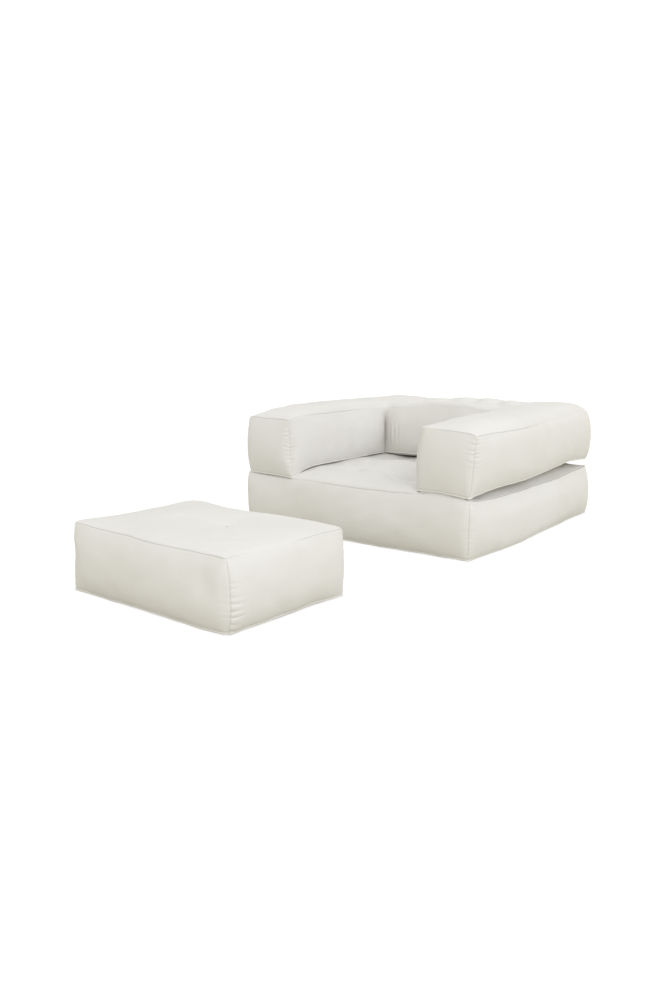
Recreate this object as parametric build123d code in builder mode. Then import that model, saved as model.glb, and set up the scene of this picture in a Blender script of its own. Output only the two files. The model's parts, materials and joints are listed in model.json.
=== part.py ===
from build123d import *
import os
from math import cos, radians, sin

os.makedirs("parts", exist_ok=True)

# A chair bed of three stuffed cotton modules: a seat slab, a U-shaped upper part
# (two arms and a back in one) that lies on the slab and unfolds forward about a
# fabric hinge along the front edge, and a loose pouf that stands in front.
# Frame: seen from the front, +X is to the right, +Y to the rear and +Z up, and
# left and right in names are the viewer's. The origin is the centre of the
# slab's underside, on the floor.

# ---------------------------------------------------------------- dimensions, mm
chair_w = 1000.0  # width of slab and upper part
chair_d = 1070.0  # depth of slab and upper part
module_h = 232.0  # thickness of slab and of upper part, crown included
fold_gap = 4.0  # between slab and upper part, where the fabric hinge folds
arm_w = 214.0  # width of each arm
seat_d = 669.0  # depth of the space between the arms
pouf_l = 667.0  # pouf, along the chair's front
pouf_w = 470.0
pouf_h = 218.0
pouf_at = (52.5, -1342.5)  # centre of the pouf on the floor
pouf_turn = -3.35  # degrees about +Z

corner_r = 24.0  # upright corners
inner_r = 12.0  # the two inside corners of the U
crown_r = 20.0  # top edges; the seam runs at the lower end of this curve
hem_r = 11.0  # bottom edges
cloth_t = 1.5  # cover canvas with its lining
ease = 0.3  # between cover and filling
wadding_t = 25.0  # cotton layer above and below the foam

dimple_d = 14.0  # how deep a tuft pulls the top in
dimple_r = 42.0
under_d = 8.0  # how deep a tuft pulls the underside in
under_r = 27.0
dimple_floor_r = 7.0
twine_r = 1.2
twine_hole_r = 1.7
knot_r = 5.0
knot_h = 2.5

leaf_d = 60.0  # depth of each fabric hinge leaf
leaf_t = 1.2
leaf_side = 18.0  # from the leaf to the arm's sides
front_set = 1.5  # both front faces stand this far behind the fold line

# ---------------------------------------------------------------- derived values
front_y = -chair_d / 2
rear_y = chair_d / 2
inner_y = front_y + seat_d  # front face of the back
gap_x = chair_w / 2 - arm_w  # inner faces of the arms
upper_z = module_h + fold_gap  # underside of the upper part
fold_y = front_y - front_set  # the fold line of the fabric hinge
fold_z = module_h + fold_gap / 2

seat_tufts = [(x, y) for x in (-160.0, 160.0) for y in (-270.0, 30.0, 330.0)]
upper_tufts = [(-235.0, 334.0), (235.0, 334.0)]
pouf_tufts = [(60.0, 20.0)]

seat_plane = Plane.XY
upper_plane = Plane.XY.offset(upper_z)
pouf_plane = Plane(
    origin=(pouf_at[0], pouf_at[1], 0),
    x_dir=(cos(radians(pouf_turn)), sin(radians(pouf_turn)), 0),
    z_dir=(0, 0, 1),
)


# ---------------------------------------------------------------- shared outlines
def slab_body(plane, length, width, height, inset, tufts):
    """A slab with rounded corners and a dimple at each tuft, shrunk by inset all round."""
    with BuildPart(plane) as body:
        with BuildSketch(plane.offset(inset)):
            RectangleRounded(length - 2 * inset, width - 2 * inset, corner_r - inset)
        extrude(amount=height - 2 * inset)
        fillet(body.edges().group_by(Axis.Z)[-1], crown_r - inset)
        fillet(body.edges().group_by(Axis.Z)[0], hem_r - inset)
        dimples(height, inset, tufts)
    return body.part


def dimples(height, inset, tufts):
    """Cuts each tuft's cones at the top and the bottom of the part in hand, and its twine hole."""
    grow = 0.19 * inset
    with Locations(*[(x, y, height - inset) for x, y in tufts]):
        Cone(
            bottom_radius=dimple_floor_r + grow,
            top_radius=dimple_r + grow,
            height=dimple_d,
            align=(Align.CENTER, Align.CENTER, Align.MAX),
            mode=Mode.SUBTRACT,
        )
    with Locations(*[(x, y, inset) for x, y in tufts]):
        Cone(
            bottom_radius=under_r + grow,
            top_radius=dimple_floor_r + grow,
            height=under_d,
            align=(Align.CENTER, Align.CENTER, Align.MIN),
            mode=Mode.SUBTRACT,
        )
    with Locations(*[(x, y, 0) for x, y in tufts]):
        Cylinder(
            twine_hole_r,
            height,
            align=(Align.CENTER, Align.CENTER, Align.MIN),
            mode=Mode.SUBTRACT,
        )


def u_corners(inset):
    """The eight corners of the U, from the left arm's outer front corner."""
    x, g = chair_w / 2 - inset, gap_x + inset
    return [
        (-x, front_y + inset),
        (-g, front_y + inset),
        (-g, inner_y + inset),
        (g, inner_y + inset),
        (g, front_y + inset),
        (x, front_y + inset),
        (x, rear_y - inset),
        (-x, rear_y - inset),
    ]


def u_body(inset):
    """The U of arms and back, shrunk by inset all round."""
    with BuildPart(upper_plane) as body:
        with BuildSketch(upper_plane.offset(inset)) as outline:
            with BuildLine():
                Polyline(*u_corners(inset), close=True)
            make_face()
            inside = outline.vertices().filter_by(
                lambda v: abs(v.Y - inner_y - inset) < 0.01
            )
            fillet(inside, inner_r + inset)
            outside = outline.vertices().filter_by(
                lambda v: abs(v.Y - front_y - inset) < 0.01
                or abs(v.Y - rear_y + inset) < 0.01
            )
            fillet(outside, corner_r - inset)
        extrude(amount=module_h - 2 * inset)
        fillet(body.edges().group_by(Axis.Z)[-1], crown_r - inset)
        fillet(body.edges().group_by(Axis.Z)[0], hem_r - inset)
        dimples(module_h, inset, upper_tufts)
    return body.part


def corner_cut(corners, i, reach=14.0, out=6.0):
    """The strip of plan that belongs to the side between corners i and i+1, mitred at both corners."""
    n = len(corners)
    ring = [Vector(*p) for p in corners]

    def outward(k):
        along = (ring[(k + 1) % n] - ring[k % n]).normalized()
        return Vector(along.Y, -along.X)

    here, there = ring[i % n], ring[(i + 1) % n]
    at_here = outward(i - 1) + outward(i)
    at_there = outward(i) + outward(i + 1)
    return [
        here + at_here * out,
        there + at_there * out,
        there - at_there * reach,
        here - at_here * reach,
    ]


def plan(points):
    return [(p.X, p.Y) for p in points]


slab_ring = [
    (-chair_w / 2, front_y),
    (chair_w / 2, front_y),
    (chair_w / 2, rear_y),
    (-chair_w / 2, rear_y),
]
u_ring = u_corners(0.0)
pouf_ring = [
    (-pouf_l / 2, -pouf_w / 2),
    (pouf_l / 2, -pouf_w / 2),
    (pouf_l / 2, pouf_w / 2),
    (-pouf_l / 2, pouf_w / 2),
]
side_h = module_h - crown_r - hem_r
pouf_side_h = pouf_h - crown_r - hem_r

# ---------------------------------------------------------------- seat slab
with BuildPart() as seat_skin:
    add(slab_body(seat_plane, chair_w, chair_d, module_h, 0.0, seat_tufts))
    add(
        slab_body(seat_plane, chair_w, chair_d, module_h, cloth_t, seat_tufts),
        mode=Mode.SUBTRACT,
    )

with BuildPart() as seat_filling:
    add(slab_body(seat_plane, chair_w, chair_d, module_h, cloth_t + ease, seat_tufts))

with BuildPart() as seat_top_panel:
    add(seat_skin.part)
    with BuildSketch(Plane.XY.offset(module_h - crown_r)):
        Rectangle(chair_w + 50, chair_d + 50)
    extrude(amount=crown_r + 1, mode=Mode.INTERSECT)

with BuildPart() as seat_bottom_panel:
    add(seat_skin.part)
    with BuildSketch(Plane.XY.offset(-1)):
        Rectangle(chair_w + 50, chair_d + 50)
    extrude(amount=hem_r + 1, mode=Mode.INTERSECT)

with BuildPart() as seat_front_panel:
    add(seat_skin.part)
    with BuildSketch(Plane.XY.offset(hem_r)):
        with BuildLine():
            Polyline(*plan(corner_cut(slab_ring, 0)), close=True)
        make_face()
    extrude(amount=side_h, mode=Mode.INTERSECT)

with BuildPart() as seat_right_panel:
    add(seat_skin.part)
    with BuildSketch(Plane.XY.offset(hem_r)):
        with BuildLine():
            Polyline(*plan(corner_cut(slab_ring, 1)), close=True)
        make_face()
    extrude(amount=side_h, mode=Mode.INTERSECT)

with BuildPart() as seat_rear_panel:
    add(seat_skin.part)
    with BuildSketch(Plane.XY.offset(hem_r)):
        with BuildLine():
            Polyline(*plan(corner_cut(slab_ring, 2)), close=True)
        make_face()
    extrude(amount=side_h, mode=Mode.INTERSECT)

with BuildPart() as seat_left_panel:
    add(seat_skin.part)
    with BuildSketch(Plane.XY.offset(hem_r)):
        with BuildLine():
            Polyline(*plan(corner_cut(slab_ring, 3)), close=True)
        make_face()
    extrude(amount=side_h, mode=Mode.INTERSECT)

with BuildPart() as seat_top_wadding:
    add(seat_filling.part)
    with BuildSketch(Plane.XY.offset(module_h - wadding_t)):
        Rectangle(chair_w + 50, chair_d + 50)
    extrude(amount=wadding_t, mode=Mode.INTERSECT)

with BuildPart() as seat_foam_core:
    add(seat_filling.part)
    with BuildSketch(Plane.XY.offset(wadding_t)):
        Rectangle(chair_w + 50, chair_d + 50)
    extrude(amount=module_h - 2 * wadding_t, mode=Mode.INTERSECT)

with BuildPart() as seat_bottom_wadding:
    add(seat_filling.part)
    with BuildSketch(Plane.XY):
        Rectangle(chair_w + 50, chair_d + 50)
    extrude(amount=wadding_t, mode=Mode.INTERSECT)

# A tie is twine through the whole module with a knot in each dimple.
with BuildPart() as seat_tuft_ties:
    with Locations(*[(x, y, under_d) for x, y in seat_tufts]):
        Cylinder(
            twine_r,
            module_h - dimple_d - under_d,
            align=(Align.CENTER, Align.CENTER, Align.MIN),
        )
    with Locations(*[(x, y, module_h - dimple_d) for x, y in seat_tufts]):
        Cylinder(knot_r, knot_h, align=(Align.CENTER, Align.CENTER, Align.MIN))
    with Locations(*[(x, y, under_d) for x, y in seat_tufts]):
        Cylinder(knot_r, knot_h, align=(Align.CENTER, Align.CENTER, Align.MAX))

# ---------------------------------------------------------------- upper part, the U
with BuildPart() as upper_skin:
    add(u_body(0.0))
    add(u_body(cloth_t), mode=Mode.SUBTRACT)

with BuildPart() as upper_filling:
    add(u_body(cloth_t + ease))

with BuildPart() as upper_top_panel:
    add(upper_skin.part)
    with BuildSketch(upper_plane.offset(module_h - crown_r)):
        Rectangle(chair_w + 50, chair_d + 50)
    extrude(amount=crown_r + 1, mode=Mode.INTERSECT)

with BuildPart() as upper_bottom_panel:
    add(upper_skin.part)
    with BuildSketch(upper_plane.offset(-1)):
        Rectangle(chair_w + 50, chair_d + 50)
    extrude(amount=hem_r + 1, mode=Mode.INTERSECT)

with BuildPart() as left_arm_front_panel:
    add(upper_skin.part)
    with BuildSketch(upper_plane.offset(hem_r)):
        with BuildLine():
            Polyline(*plan(corner_cut(u_ring, 0)), close=True)
        make_face()
    extrude(amount=side_h, mode=Mode.INTERSECT)

with BuildPart() as left_arm_inner_panel:
    add(upper_skin.part)
    with BuildSketch(upper_plane.offset(hem_r)):
        with BuildLine():
            Polyline(*plan(corner_cut(u_ring, 1)), close=True)
        make_face()
    extrude(amount=side_h, mode=Mode.INTERSECT)

with BuildPart() as back_front_panel:
    add(upper_skin.part)
    with BuildSketch(upper_plane.offset(hem_r)):
        with BuildLine():
            Polyline(*plan(corner_cut(u_ring, 2)), close=True)
        make_face()
    extrude(amount=side_h, mode=Mode.INTERSECT)

with BuildPart() as right_arm_inner_panel:
    add(upper_skin.part)
    with BuildSketch(upper_plane.offset(hem_r)):
        with BuildLine():
            Polyline(*plan(corner_cut(u_ring, 3)), close=True)
        make_face()
    extrude(amount=side_h, mode=Mode.INTERSECT)

with BuildPart() as right_arm_front_panel:
    add(upper_skin.part)
    with BuildSketch(upper_plane.offset(hem_r)):
        with BuildLine():
            Polyline(*plan(corner_cut(u_ring, 4)), close=True)
        make_face()
    extrude(amount=side_h, mode=Mode.INTERSECT)

with BuildPart() as right_outer_panel:
    add(upper_skin.part)
    with BuildSketch(upper_plane.offset(hem_r)):
        with BuildLine():
            Polyline(*plan(corner_cut(u_ring, 5)), close=True)
        make_face()
    extrude(amount=side_h, mode=Mode.INTERSECT)

with BuildPart() as back_rear_panel:
    add(upper_skin.part)
    with BuildSketch(upper_plane.offset(hem_r)):
        with BuildLine():
            Polyline(*plan(corner_cut(u_ring, 6)), close=True)
        make_face()
    extrude(amount=side_h, mode=Mode.INTERSECT)

with BuildPart() as left_outer_panel:
    add(upper_skin.part)
    with BuildSketch(upper_plane.offset(hem_r)):
        with BuildLine():
            Polyline(*plan(corner_cut(u_ring, 7)), close=True)
        make_face()
    extrude(amount=side_h, mode=Mode.INTERSECT)

# The filling is cut into three lengths, which butt where the arms meet the back.
foam_h = module_h - 2 * wadding_t
arm_mid = (chair_w / 2 + gap_x) / 2
arm_mid_y = (front_y + inner_y) / 2
back_mid_y = (inner_y + rear_y) / 2

with BuildPart() as left_arm_foam:
    add(upper_filling.part)
    with BuildSketch(upper_plane.offset(wadding_t)):
        with Locations((-arm_mid, arm_mid_y)):
            Rectangle(arm_w + 60, seat_d)
    extrude(amount=foam_h, mode=Mode.INTERSECT)

with BuildPart() as right_arm_foam:
    add(upper_filling.part)
    with BuildSketch(upper_plane.offset(wadding_t)):
        with Locations((arm_mid, arm_mid_y)):
            Rectangle(arm_w + 60, seat_d)
    extrude(amount=foam_h, mode=Mode.INTERSECT)

with BuildPart() as back_foam:
    add(upper_filling.part)
    with BuildSketch(upper_plane.offset(wadding_t)):
        with Locations((0, back_mid_y)):
            Rectangle(chair_w + 50, rear_y - inner_y)
    extrude(amount=foam_h, mode=Mode.INTERSECT)

with BuildPart() as left_arm_top_wadding:
    add(upper_filling.part)
    with BuildSketch(upper_plane.offset(module_h - wadding_t)):
        with Locations((-arm_mid, arm_mid_y)):
            Rectangle(arm_w + 60, seat_d)
    extrude(amount=wadding_t, mode=Mode.INTERSECT)

with BuildPart() as right_arm_top_wadding:
    add(upper_filling.part)
    with BuildSketch(upper_plane.offset(module_h - wadding_t)):
        with Locations((arm_mid, arm_mid_y)):
            Rectangle(arm_w + 60, seat_d)
    extrude(amount=wadding_t, mode=Mode.INTERSECT)

with BuildPart() as back_top_wadding:
    add(upper_filling.part)
    with BuildSketch(upper_plane.offset(module_h - wadding_t)):
        with Locations((0, back_mid_y)):
            Rectangle(chair_w + 50, rear_y - inner_y)
    extrude(amount=wadding_t, mode=Mode.INTERSECT)

with BuildPart() as left_arm_bottom_wadding:
    add(upper_filling.part)
    with BuildSketch(upper_plane):
        with Locations((-arm_mid, arm_mid_y)):
            Rectangle(arm_w + 60, seat_d)
    extrude(amount=wadding_t, mode=Mode.INTERSECT)

with BuildPart() as right_arm_bottom_wadding:
    add(upper_filling.part)
    with BuildSketch(upper_plane):
        with Locations((arm_mid, arm_mid_y)):
            Rectangle(arm_w + 60, seat_d)
    extrude(amount=wadding_t, mode=Mode.INTERSECT)

with BuildPart() as back_bottom_wadding:
    add(upper_filling.part)
    with BuildSketch(upper_plane):
        with Locations((0, back_mid_y)):
            Rectangle(chair_w + 50, rear_y - inner_y)
    extrude(amount=wadding_t, mode=Mode.INTERSECT)

with BuildPart(upper_plane) as upper_tuft_ties:
    with Locations(*[(x, y, under_d) for x, y in upper_tufts]):
        Cylinder(
            twine_r,
            module_h - dimple_d - under_d,
            align=(Align.CENTER, Align.CENTER, Align.MIN),
        )
    with Locations(*[(x, y, module_h - dimple_d) for x, y in upper_tufts]):
        Cylinder(knot_r, knot_h, align=(Align.CENTER, Align.CENTER, Align.MIN))
    with Locations(*[(x, y, under_d) for x, y in upper_tufts]):
        Cylinder(knot_r, knot_h, align=(Align.CENTER, Align.CENTER, Align.MAX))

# ---------------------------------------------------------------- fabric hinge
# A doubled canvas strip under each arm, folded at the front: one leaf is sewn to
# the slab's top front edge, the other to the arm's lower front edge.
leaf_w = arm_w - 2 * leaf_side
leaf_mid_y = fold_y + leaf_d / 2

with BuildPart() as left_hinge_seat_leaf:
    with BuildSketch(Plane.XY.offset(module_h)):
        with Locations((-arm_mid, leaf_mid_y)):
            Rectangle(leaf_w, leaf_d)
    extrude(amount=leaf_t)

with BuildPart() as right_hinge_seat_leaf:
    with BuildSketch(Plane.XY.offset(module_h)):
        with Locations((arm_mid, leaf_mid_y)):
            Rectangle(leaf_w, leaf_d)
    extrude(amount=leaf_t)

with BuildPart() as left_hinge_arm_leaf:
    with BuildSketch(upper_plane.offset(-leaf_t)):
        with Locations((-arm_mid, leaf_mid_y)):
            Rectangle(leaf_w, leaf_d)
    extrude(amount=leaf_t)

with BuildPart() as right_hinge_arm_leaf:
    with BuildSketch(upper_plane.offset(-leaf_t)):
        with Locations((arm_mid, leaf_mid_y)):
            Rectangle(leaf_w, leaf_d)
    extrude(amount=leaf_t)

# ---------------------------------------------------------------- pouf
with BuildPart() as pouf_skin:
    add(slab_body(pouf_plane, pouf_l, pouf_w, pouf_h, 0.0, pouf_tufts))
    add(
        slab_body(pouf_plane, pouf_l, pouf_w, pouf_h, cloth_t, pouf_tufts),
        mode=Mode.SUBTRACT,
    )

with BuildPart() as pouf_filling:
    add(slab_body(pouf_plane, pouf_l, pouf_w, pouf_h, cloth_t + ease, pouf_tufts))

with BuildPart() as pouf_top_panel:
    add(pouf_skin.part)
    with BuildSketch(pouf_plane.offset(pouf_h - crown_r)):
        Rectangle(pouf_l + 50, pouf_w + 50)
    extrude(amount=crown_r + 1, mode=Mode.INTERSECT)

with BuildPart() as pouf_bottom_panel:
    add(pouf_skin.part)
    with BuildSketch(pouf_plane.offset(-1)):
        Rectangle(pouf_l + 50, pouf_w + 50)
    extrude(amount=hem_r + 1, mode=Mode.INTERSECT)

with BuildPart() as pouf_front_panel:
    add(pouf_skin.part)
    with BuildSketch(pouf_plane.offset(hem_r)):
        with BuildLine():
            Polyline(*plan(corner_cut(pouf_ring, 0)), close=True)
        make_face()
    extrude(amount=pouf_side_h, mode=Mode.INTERSECT)

with BuildPart() as pouf_right_panel:
    add(pouf_skin.part)
    with BuildSketch(pouf_plane.offset(hem_r)):
        with BuildLine():
            Polyline(*plan(corner_cut(pouf_ring, 1)), close=True)
        make_face()
    extrude(amount=pouf_side_h, mode=Mode.INTERSECT)

with BuildPart() as pouf_rear_panel:
    add(pouf_skin.part)
    with BuildSketch(pouf_plane.offset(hem_r)):
        with BuildLine():
            Polyline(*plan(corner_cut(pouf_ring, 2)), close=True)
        make_face()
    extrude(amount=pouf_side_h, mode=Mode.INTERSECT)

with BuildPart() as pouf_left_panel:
    add(pouf_skin.part)
    with BuildSketch(pouf_plane.offset(hem_r)):
        with BuildLine():
            Polyline(*plan(corner_cut(pouf_ring, 3)), close=True)
        make_face()
    extrude(amount=pouf_side_h, mode=Mode.INTERSECT)

with BuildPart() as pouf_top_wadding:
    add(pouf_filling.part)
    with BuildSketch(pouf_plane.offset(pouf_h - wadding_t)):
        Rectangle(pouf_l + 50, pouf_w + 50)
    extrude(amount=wadding_t, mode=Mode.INTERSECT)

with BuildPart() as pouf_foam_core:
    add(pouf_filling.part)
    with BuildSketch(pouf_plane.offset(wadding_t)):
        Rectangle(pouf_l + 50, pouf_w + 50)
    extrude(amount=pouf_h - 2 * wadding_t, mode=Mode.INTERSECT)

with BuildPart() as pouf_bottom_wadding:
    add(pouf_filling.part)
    with BuildSketch(pouf_plane):
        Rectangle(pouf_l + 50, pouf_w + 50)
    extrude(amount=wadding_t, mode=Mode.INTERSECT)

with BuildPart(pouf_plane) as pouf_tuft_tie:
    with Locations(*[(x, y, under_d) for x, y in pouf_tufts]):
        Cylinder(
            twine_r,
            pouf_h - dimple_d - under_d,
            align=(Align.CENTER, Align.CENTER, Align.MIN),
        )
    with Locations(*[(x, y, pouf_h - dimple_d) for x, y in pouf_tufts]):
        Cylinder(knot_r, knot_h, align=(Align.CENTER, Align.CENTER, Align.MIN))
    with Locations(*[(x, y, under_d) for x, y in pouf_tufts]):
        Cylinder(knot_r, knot_h, align=(Align.CENTER, Align.CENTER, Align.MAX))

# ---------------------------------------------------------------- labels and files
seat_top_panel.part.label = "seat_top_panel"
seat_bottom_panel.part.label = "seat_bottom_panel"
seat_front_panel.part.label = "seat_front_panel"
seat_right_panel.part.label = "seat_right_panel"
seat_rear_panel.part.label = "seat_rear_panel"
seat_left_panel.part.label = "seat_left_panel"
seat_top_wadding.part.label = "seat_top_wadding"
seat_foam_core.part.label = "seat_foam_core"
seat_bottom_wadding.part.label = "seat_bottom_wadding"
seat_tuft_ties.part.label = "seat_tuft_ties"
upper_top_panel.part.label = "upper_top_panel"
upper_bottom_panel.part.label = "upper_bottom_panel"
left_arm_front_panel.part.label = "left_arm_front_panel"
left_arm_inner_panel.part.label = "left_arm_inner_panel"
back_front_panel.part.label = "back_front_panel"
right_arm_inner_panel.part.label = "right_arm_inner_panel"
right_arm_front_panel.part.label = "right_arm_front_panel"
right_outer_panel.part.label = "right_outer_panel"
back_rear_panel.part.label = "back_rear_panel"
left_outer_panel.part.label = "left_outer_panel"
left_arm_foam.part.label = "left_arm_foam"
right_arm_foam.part.label = "right_arm_foam"
back_foam.part.label = "back_foam"
left_arm_top_wadding.part.label = "left_arm_top_wadding"
right_arm_top_wadding.part.label = "right_arm_top_wadding"
back_top_wadding.part.label = "back_top_wadding"
left_arm_bottom_wadding.part.label = "left_arm_bottom_wadding"
right_arm_bottom_wadding.part.label = "right_arm_bottom_wadding"
back_bottom_wadding.part.label = "back_bottom_wadding"
upper_tuft_ties.part.label = "upper_tuft_ties"
left_hinge_seat_leaf.part.label = "left_hinge_seat_leaf"
right_hinge_seat_leaf.part.label = "right_hinge_seat_leaf"
left_hinge_arm_leaf.part.label = "left_hinge_arm_leaf"
right_hinge_arm_leaf.part.label = "right_hinge_arm_leaf"
pouf_top_panel.part.label = "pouf_top_panel"
pouf_bottom_panel.part.label = "pouf_bottom_panel"
pouf_front_panel.part.label = "pouf_front_panel"
pouf_right_panel.part.label = "pouf_right_panel"
pouf_rear_panel.part.label = "pouf_rear_panel"
pouf_left_panel.part.label = "pouf_left_panel"
pouf_top_wadding.part.label = "pouf_top_wadding"
pouf_foam_core.part.label = "pouf_foam_core"
pouf_bottom_wadding.part.label = "pouf_bottom_wadding"
pouf_tuft_tie.part.label = "pouf_tuft_tie"

export_step(seat_top_panel.part, "parts/seat_top_panel.step")
export_step(seat_bottom_panel.part, "parts/seat_bottom_panel.step")
export_step(seat_front_panel.part, "parts/seat_front_panel.step")
export_step(seat_right_panel.part, "parts/seat_right_panel.step")
export_step(seat_rear_panel.part, "parts/seat_rear_panel.step")
export_step(seat_left_panel.part, "parts/seat_left_panel.step")
export_step(seat_top_wadding.part, "parts/seat_top_wadding.step")
export_step(seat_foam_core.part, "parts/seat_foam_core.step")
export_step(seat_bottom_wadding.part, "parts/seat_bottom_wadding.step")
export_step(seat_tuft_ties.part, "parts/seat_tuft_ties.step")
export_step(upper_top_panel.part, "parts/upper_top_panel.step")
export_step(upper_bottom_panel.part, "parts/upper_bottom_panel.step")
export_step(left_arm_front_panel.part, "parts/left_arm_front_panel.step")
export_step(left_arm_inner_panel.part, "parts/left_arm_inner_panel.step")
export_step(back_front_panel.part, "parts/back_front_panel.step")
export_step(right_arm_inner_panel.part, "parts/right_arm_inner_panel.step")
export_step(right_arm_front_panel.part, "parts/right_arm_front_panel.step")
export_step(right_outer_panel.part, "parts/right_outer_panel.step")
export_step(back_rear_panel.part, "parts/back_rear_panel.step")
export_step(left_outer_panel.part, "parts/left_outer_panel.step")
export_step(left_arm_foam.part, "parts/left_arm_foam.step")
export_step(right_arm_foam.part, "parts/right_arm_foam.step")
export_step(back_foam.part, "parts/back_foam.step")
export_step(left_arm_top_wadding.part, "parts/left_arm_top_wadding.step")
export_step(right_arm_top_wadding.part, "parts/right_arm_top_wadding.step")
export_step(back_top_wadding.part, "parts/back_top_wadding.step")
export_step(left_arm_bottom_wadding.part, "parts/left_arm_bottom_wadding.step")
export_step(right_arm_bottom_wadding.part, "parts/right_arm_bottom_wadding.step")
export_step(back_bottom_wadding.part, "parts/back_bottom_wadding.step")
export_step(upper_tuft_ties.part, "parts/upper_tuft_ties.step")
export_step(left_hinge_seat_leaf.part, "parts/left_hinge_seat_leaf.step")
export_step(right_hinge_seat_leaf.part, "parts/right_hinge_seat_leaf.step")
export_step(left_hinge_arm_leaf.part, "parts/left_hinge_arm_leaf.step")
export_step(right_hinge_arm_leaf.part, "parts/right_hinge_arm_leaf.step")
export_step(pouf_top_panel.part, "parts/pouf_top_panel.step")
export_step(pouf_bottom_panel.part, "parts/pouf_bottom_panel.step")
export_step(pouf_front_panel.part, "parts/pouf_front_panel.step")
export_step(pouf_right_panel.part, "parts/pouf_right_panel.step")
export_step(pouf_rear_panel.part, "parts/pouf_rear_panel.step")
export_step(pouf_left_panel.part, "parts/pouf_left_panel.step")
export_step(pouf_top_wadding.part, "parts/pouf_top_wadding.step")
export_step(pouf_foam_core.part, "parts/pouf_foam_core.step")
export_step(pouf_bottom_wadding.part, "parts/pouf_bottom_wadding.step")
export_step(pouf_tuft_tie.part, "parts/pouf_tuft_tie.step")

print("fold line: y %.1f z %.1f mm" % (fold_y, fold_z))
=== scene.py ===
"""A chair bed of three stuffed canvas modules: a seat slab, a U-shaped upper part of two arms and a back, and a loose pouf.
Metres, in the part's own frame. Each module's cover is one closed mesh, whose panels meet at sewn seams.
"""
import json
import math

import bpy
import numpy as np
from mathutils import Matrix, Vector


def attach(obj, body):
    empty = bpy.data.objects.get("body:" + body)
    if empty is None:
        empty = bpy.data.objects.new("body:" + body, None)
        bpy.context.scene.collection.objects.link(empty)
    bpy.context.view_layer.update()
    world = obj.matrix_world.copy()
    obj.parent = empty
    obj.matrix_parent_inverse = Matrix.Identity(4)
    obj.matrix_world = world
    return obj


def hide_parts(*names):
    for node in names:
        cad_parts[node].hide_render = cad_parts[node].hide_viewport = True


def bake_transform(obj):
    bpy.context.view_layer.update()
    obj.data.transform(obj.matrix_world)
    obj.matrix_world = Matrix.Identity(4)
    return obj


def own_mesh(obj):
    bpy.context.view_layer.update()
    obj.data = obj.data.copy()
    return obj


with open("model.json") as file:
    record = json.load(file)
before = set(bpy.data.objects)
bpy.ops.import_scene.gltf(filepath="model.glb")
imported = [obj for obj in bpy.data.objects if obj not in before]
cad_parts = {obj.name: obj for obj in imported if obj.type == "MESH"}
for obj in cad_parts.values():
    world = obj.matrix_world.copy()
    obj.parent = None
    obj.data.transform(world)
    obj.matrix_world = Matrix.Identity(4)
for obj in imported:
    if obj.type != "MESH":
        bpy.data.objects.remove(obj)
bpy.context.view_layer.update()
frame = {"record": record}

scene = bpy.context.scene

# ------------------------------------------------------------------ camera
CAM_AT = Vector((1.89531, -3.17752, 0.76511))
CAM_FORWARD = Vector((-0.58948, 0.78679, -0.18296)).normalized()
cam_data = bpy.data.cameras.new("camera")
cam = bpy.data.objects.new("camera", cam_data)
scene.collection.objects.link(cam)
cam.location = CAM_AT
cam.rotation_mode = "QUATERNION"
cam.rotation_quaternion = CAM_FORWARD.to_track_quat("-Z", "Y")
cam_data.sensor_fit = "AUTO"
cam_data.sensor_width = 36.0
cam_data.lens = 877.7 * 36.0 / 1000.0
cam_data.clip_start, cam_data.clip_end = 0.05, 200.0
scene.camera = cam


# ------------------------------------------------------------------ small tools
def smooth(t):
    t = np.clip(t, 0.0, 1.0)
    return t * t * (3 - 2 * t)


def curve(*points):
    """A smooth function through (position, value) pairs."""
    p = np.array(points, float)
    x, y = p[:, 0], p[:, 1]
    m = np.zeros(len(x))
    m[1:-1] = (y[2:] - y[:-2]) / (x[2:] - x[:-2])
    m[0], m[-1] = (y[1] - y[0]) / (x[1] - x[0]), (y[-1] - y[-2]) / (x[-1] - x[-2])

    def at(u):
        u = np.clip(u, x[0], x[-1])
        k = np.clip(np.searchsorted(x, u, side="right") - 1, 0, len(x) - 2)
        h = x[k + 1] - x[k]
        t = (u - x[k]) / h
        return (
            (2 * t**3 - 3 * t**2 + 1) * y[k] + (t**3 - 2 * t**2 + t) * h * m[k]
            + (-2 * t**3 + 3 * t**2) * y[k + 1] + (t**3 - t**2) * h * m[k + 1]
        )
    return at


def lines(breaks, fine, coarse, reach, spans=()):
    """Grid lines through the breaks, fine beside each and within the spans, and coarser away from them."""
    out = [breaks[0]]
    for a, b in zip(breaks, breaks[1:]):
        x = np.linspace(a, b, 2001)
        step = fine + (coarse - fine) * smooth(np.minimum(x - a, b - x) / reach)
        for p, q in spans:
            step = np.minimum(step, 0.0021 + (coarse - 0.0021) * smooth(np.maximum(p - x, x - q) / 0.015))
        dens = 1 / step
        c = np.concatenate([[0], np.cumsum((dens[1:] + dens[:-1]) / 2 * (b - a) / 2000)])
        n = max(2, int(round(c[-1])))
        out += list(np.interp(np.linspace(0, c[-1], n + 1), c, x)[1:])
        out[-1] = b
    return np.array(out)


class Ripple:
    """A smooth random field: sines of random directions about one wavelength."""
    def __init__(self, seed, wave, count=14):
        r = np.random.default_rng(seed)
        d = r.normal(size=(count, 3))
        d /= np.linalg.norm(d, axis=1)[:, None]
        self.k = d * (2 * math.pi / wave) * r.uniform(0.7, 1.4, (count, 1))
        self.ph = r.uniform(0, 2 * math.pi, count)
        self.n = math.sqrt(2.0 / count)

    def __call__(self, p):
        return np.sin(p @ self.k.T + self.ph).sum(1) * self.n


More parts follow.
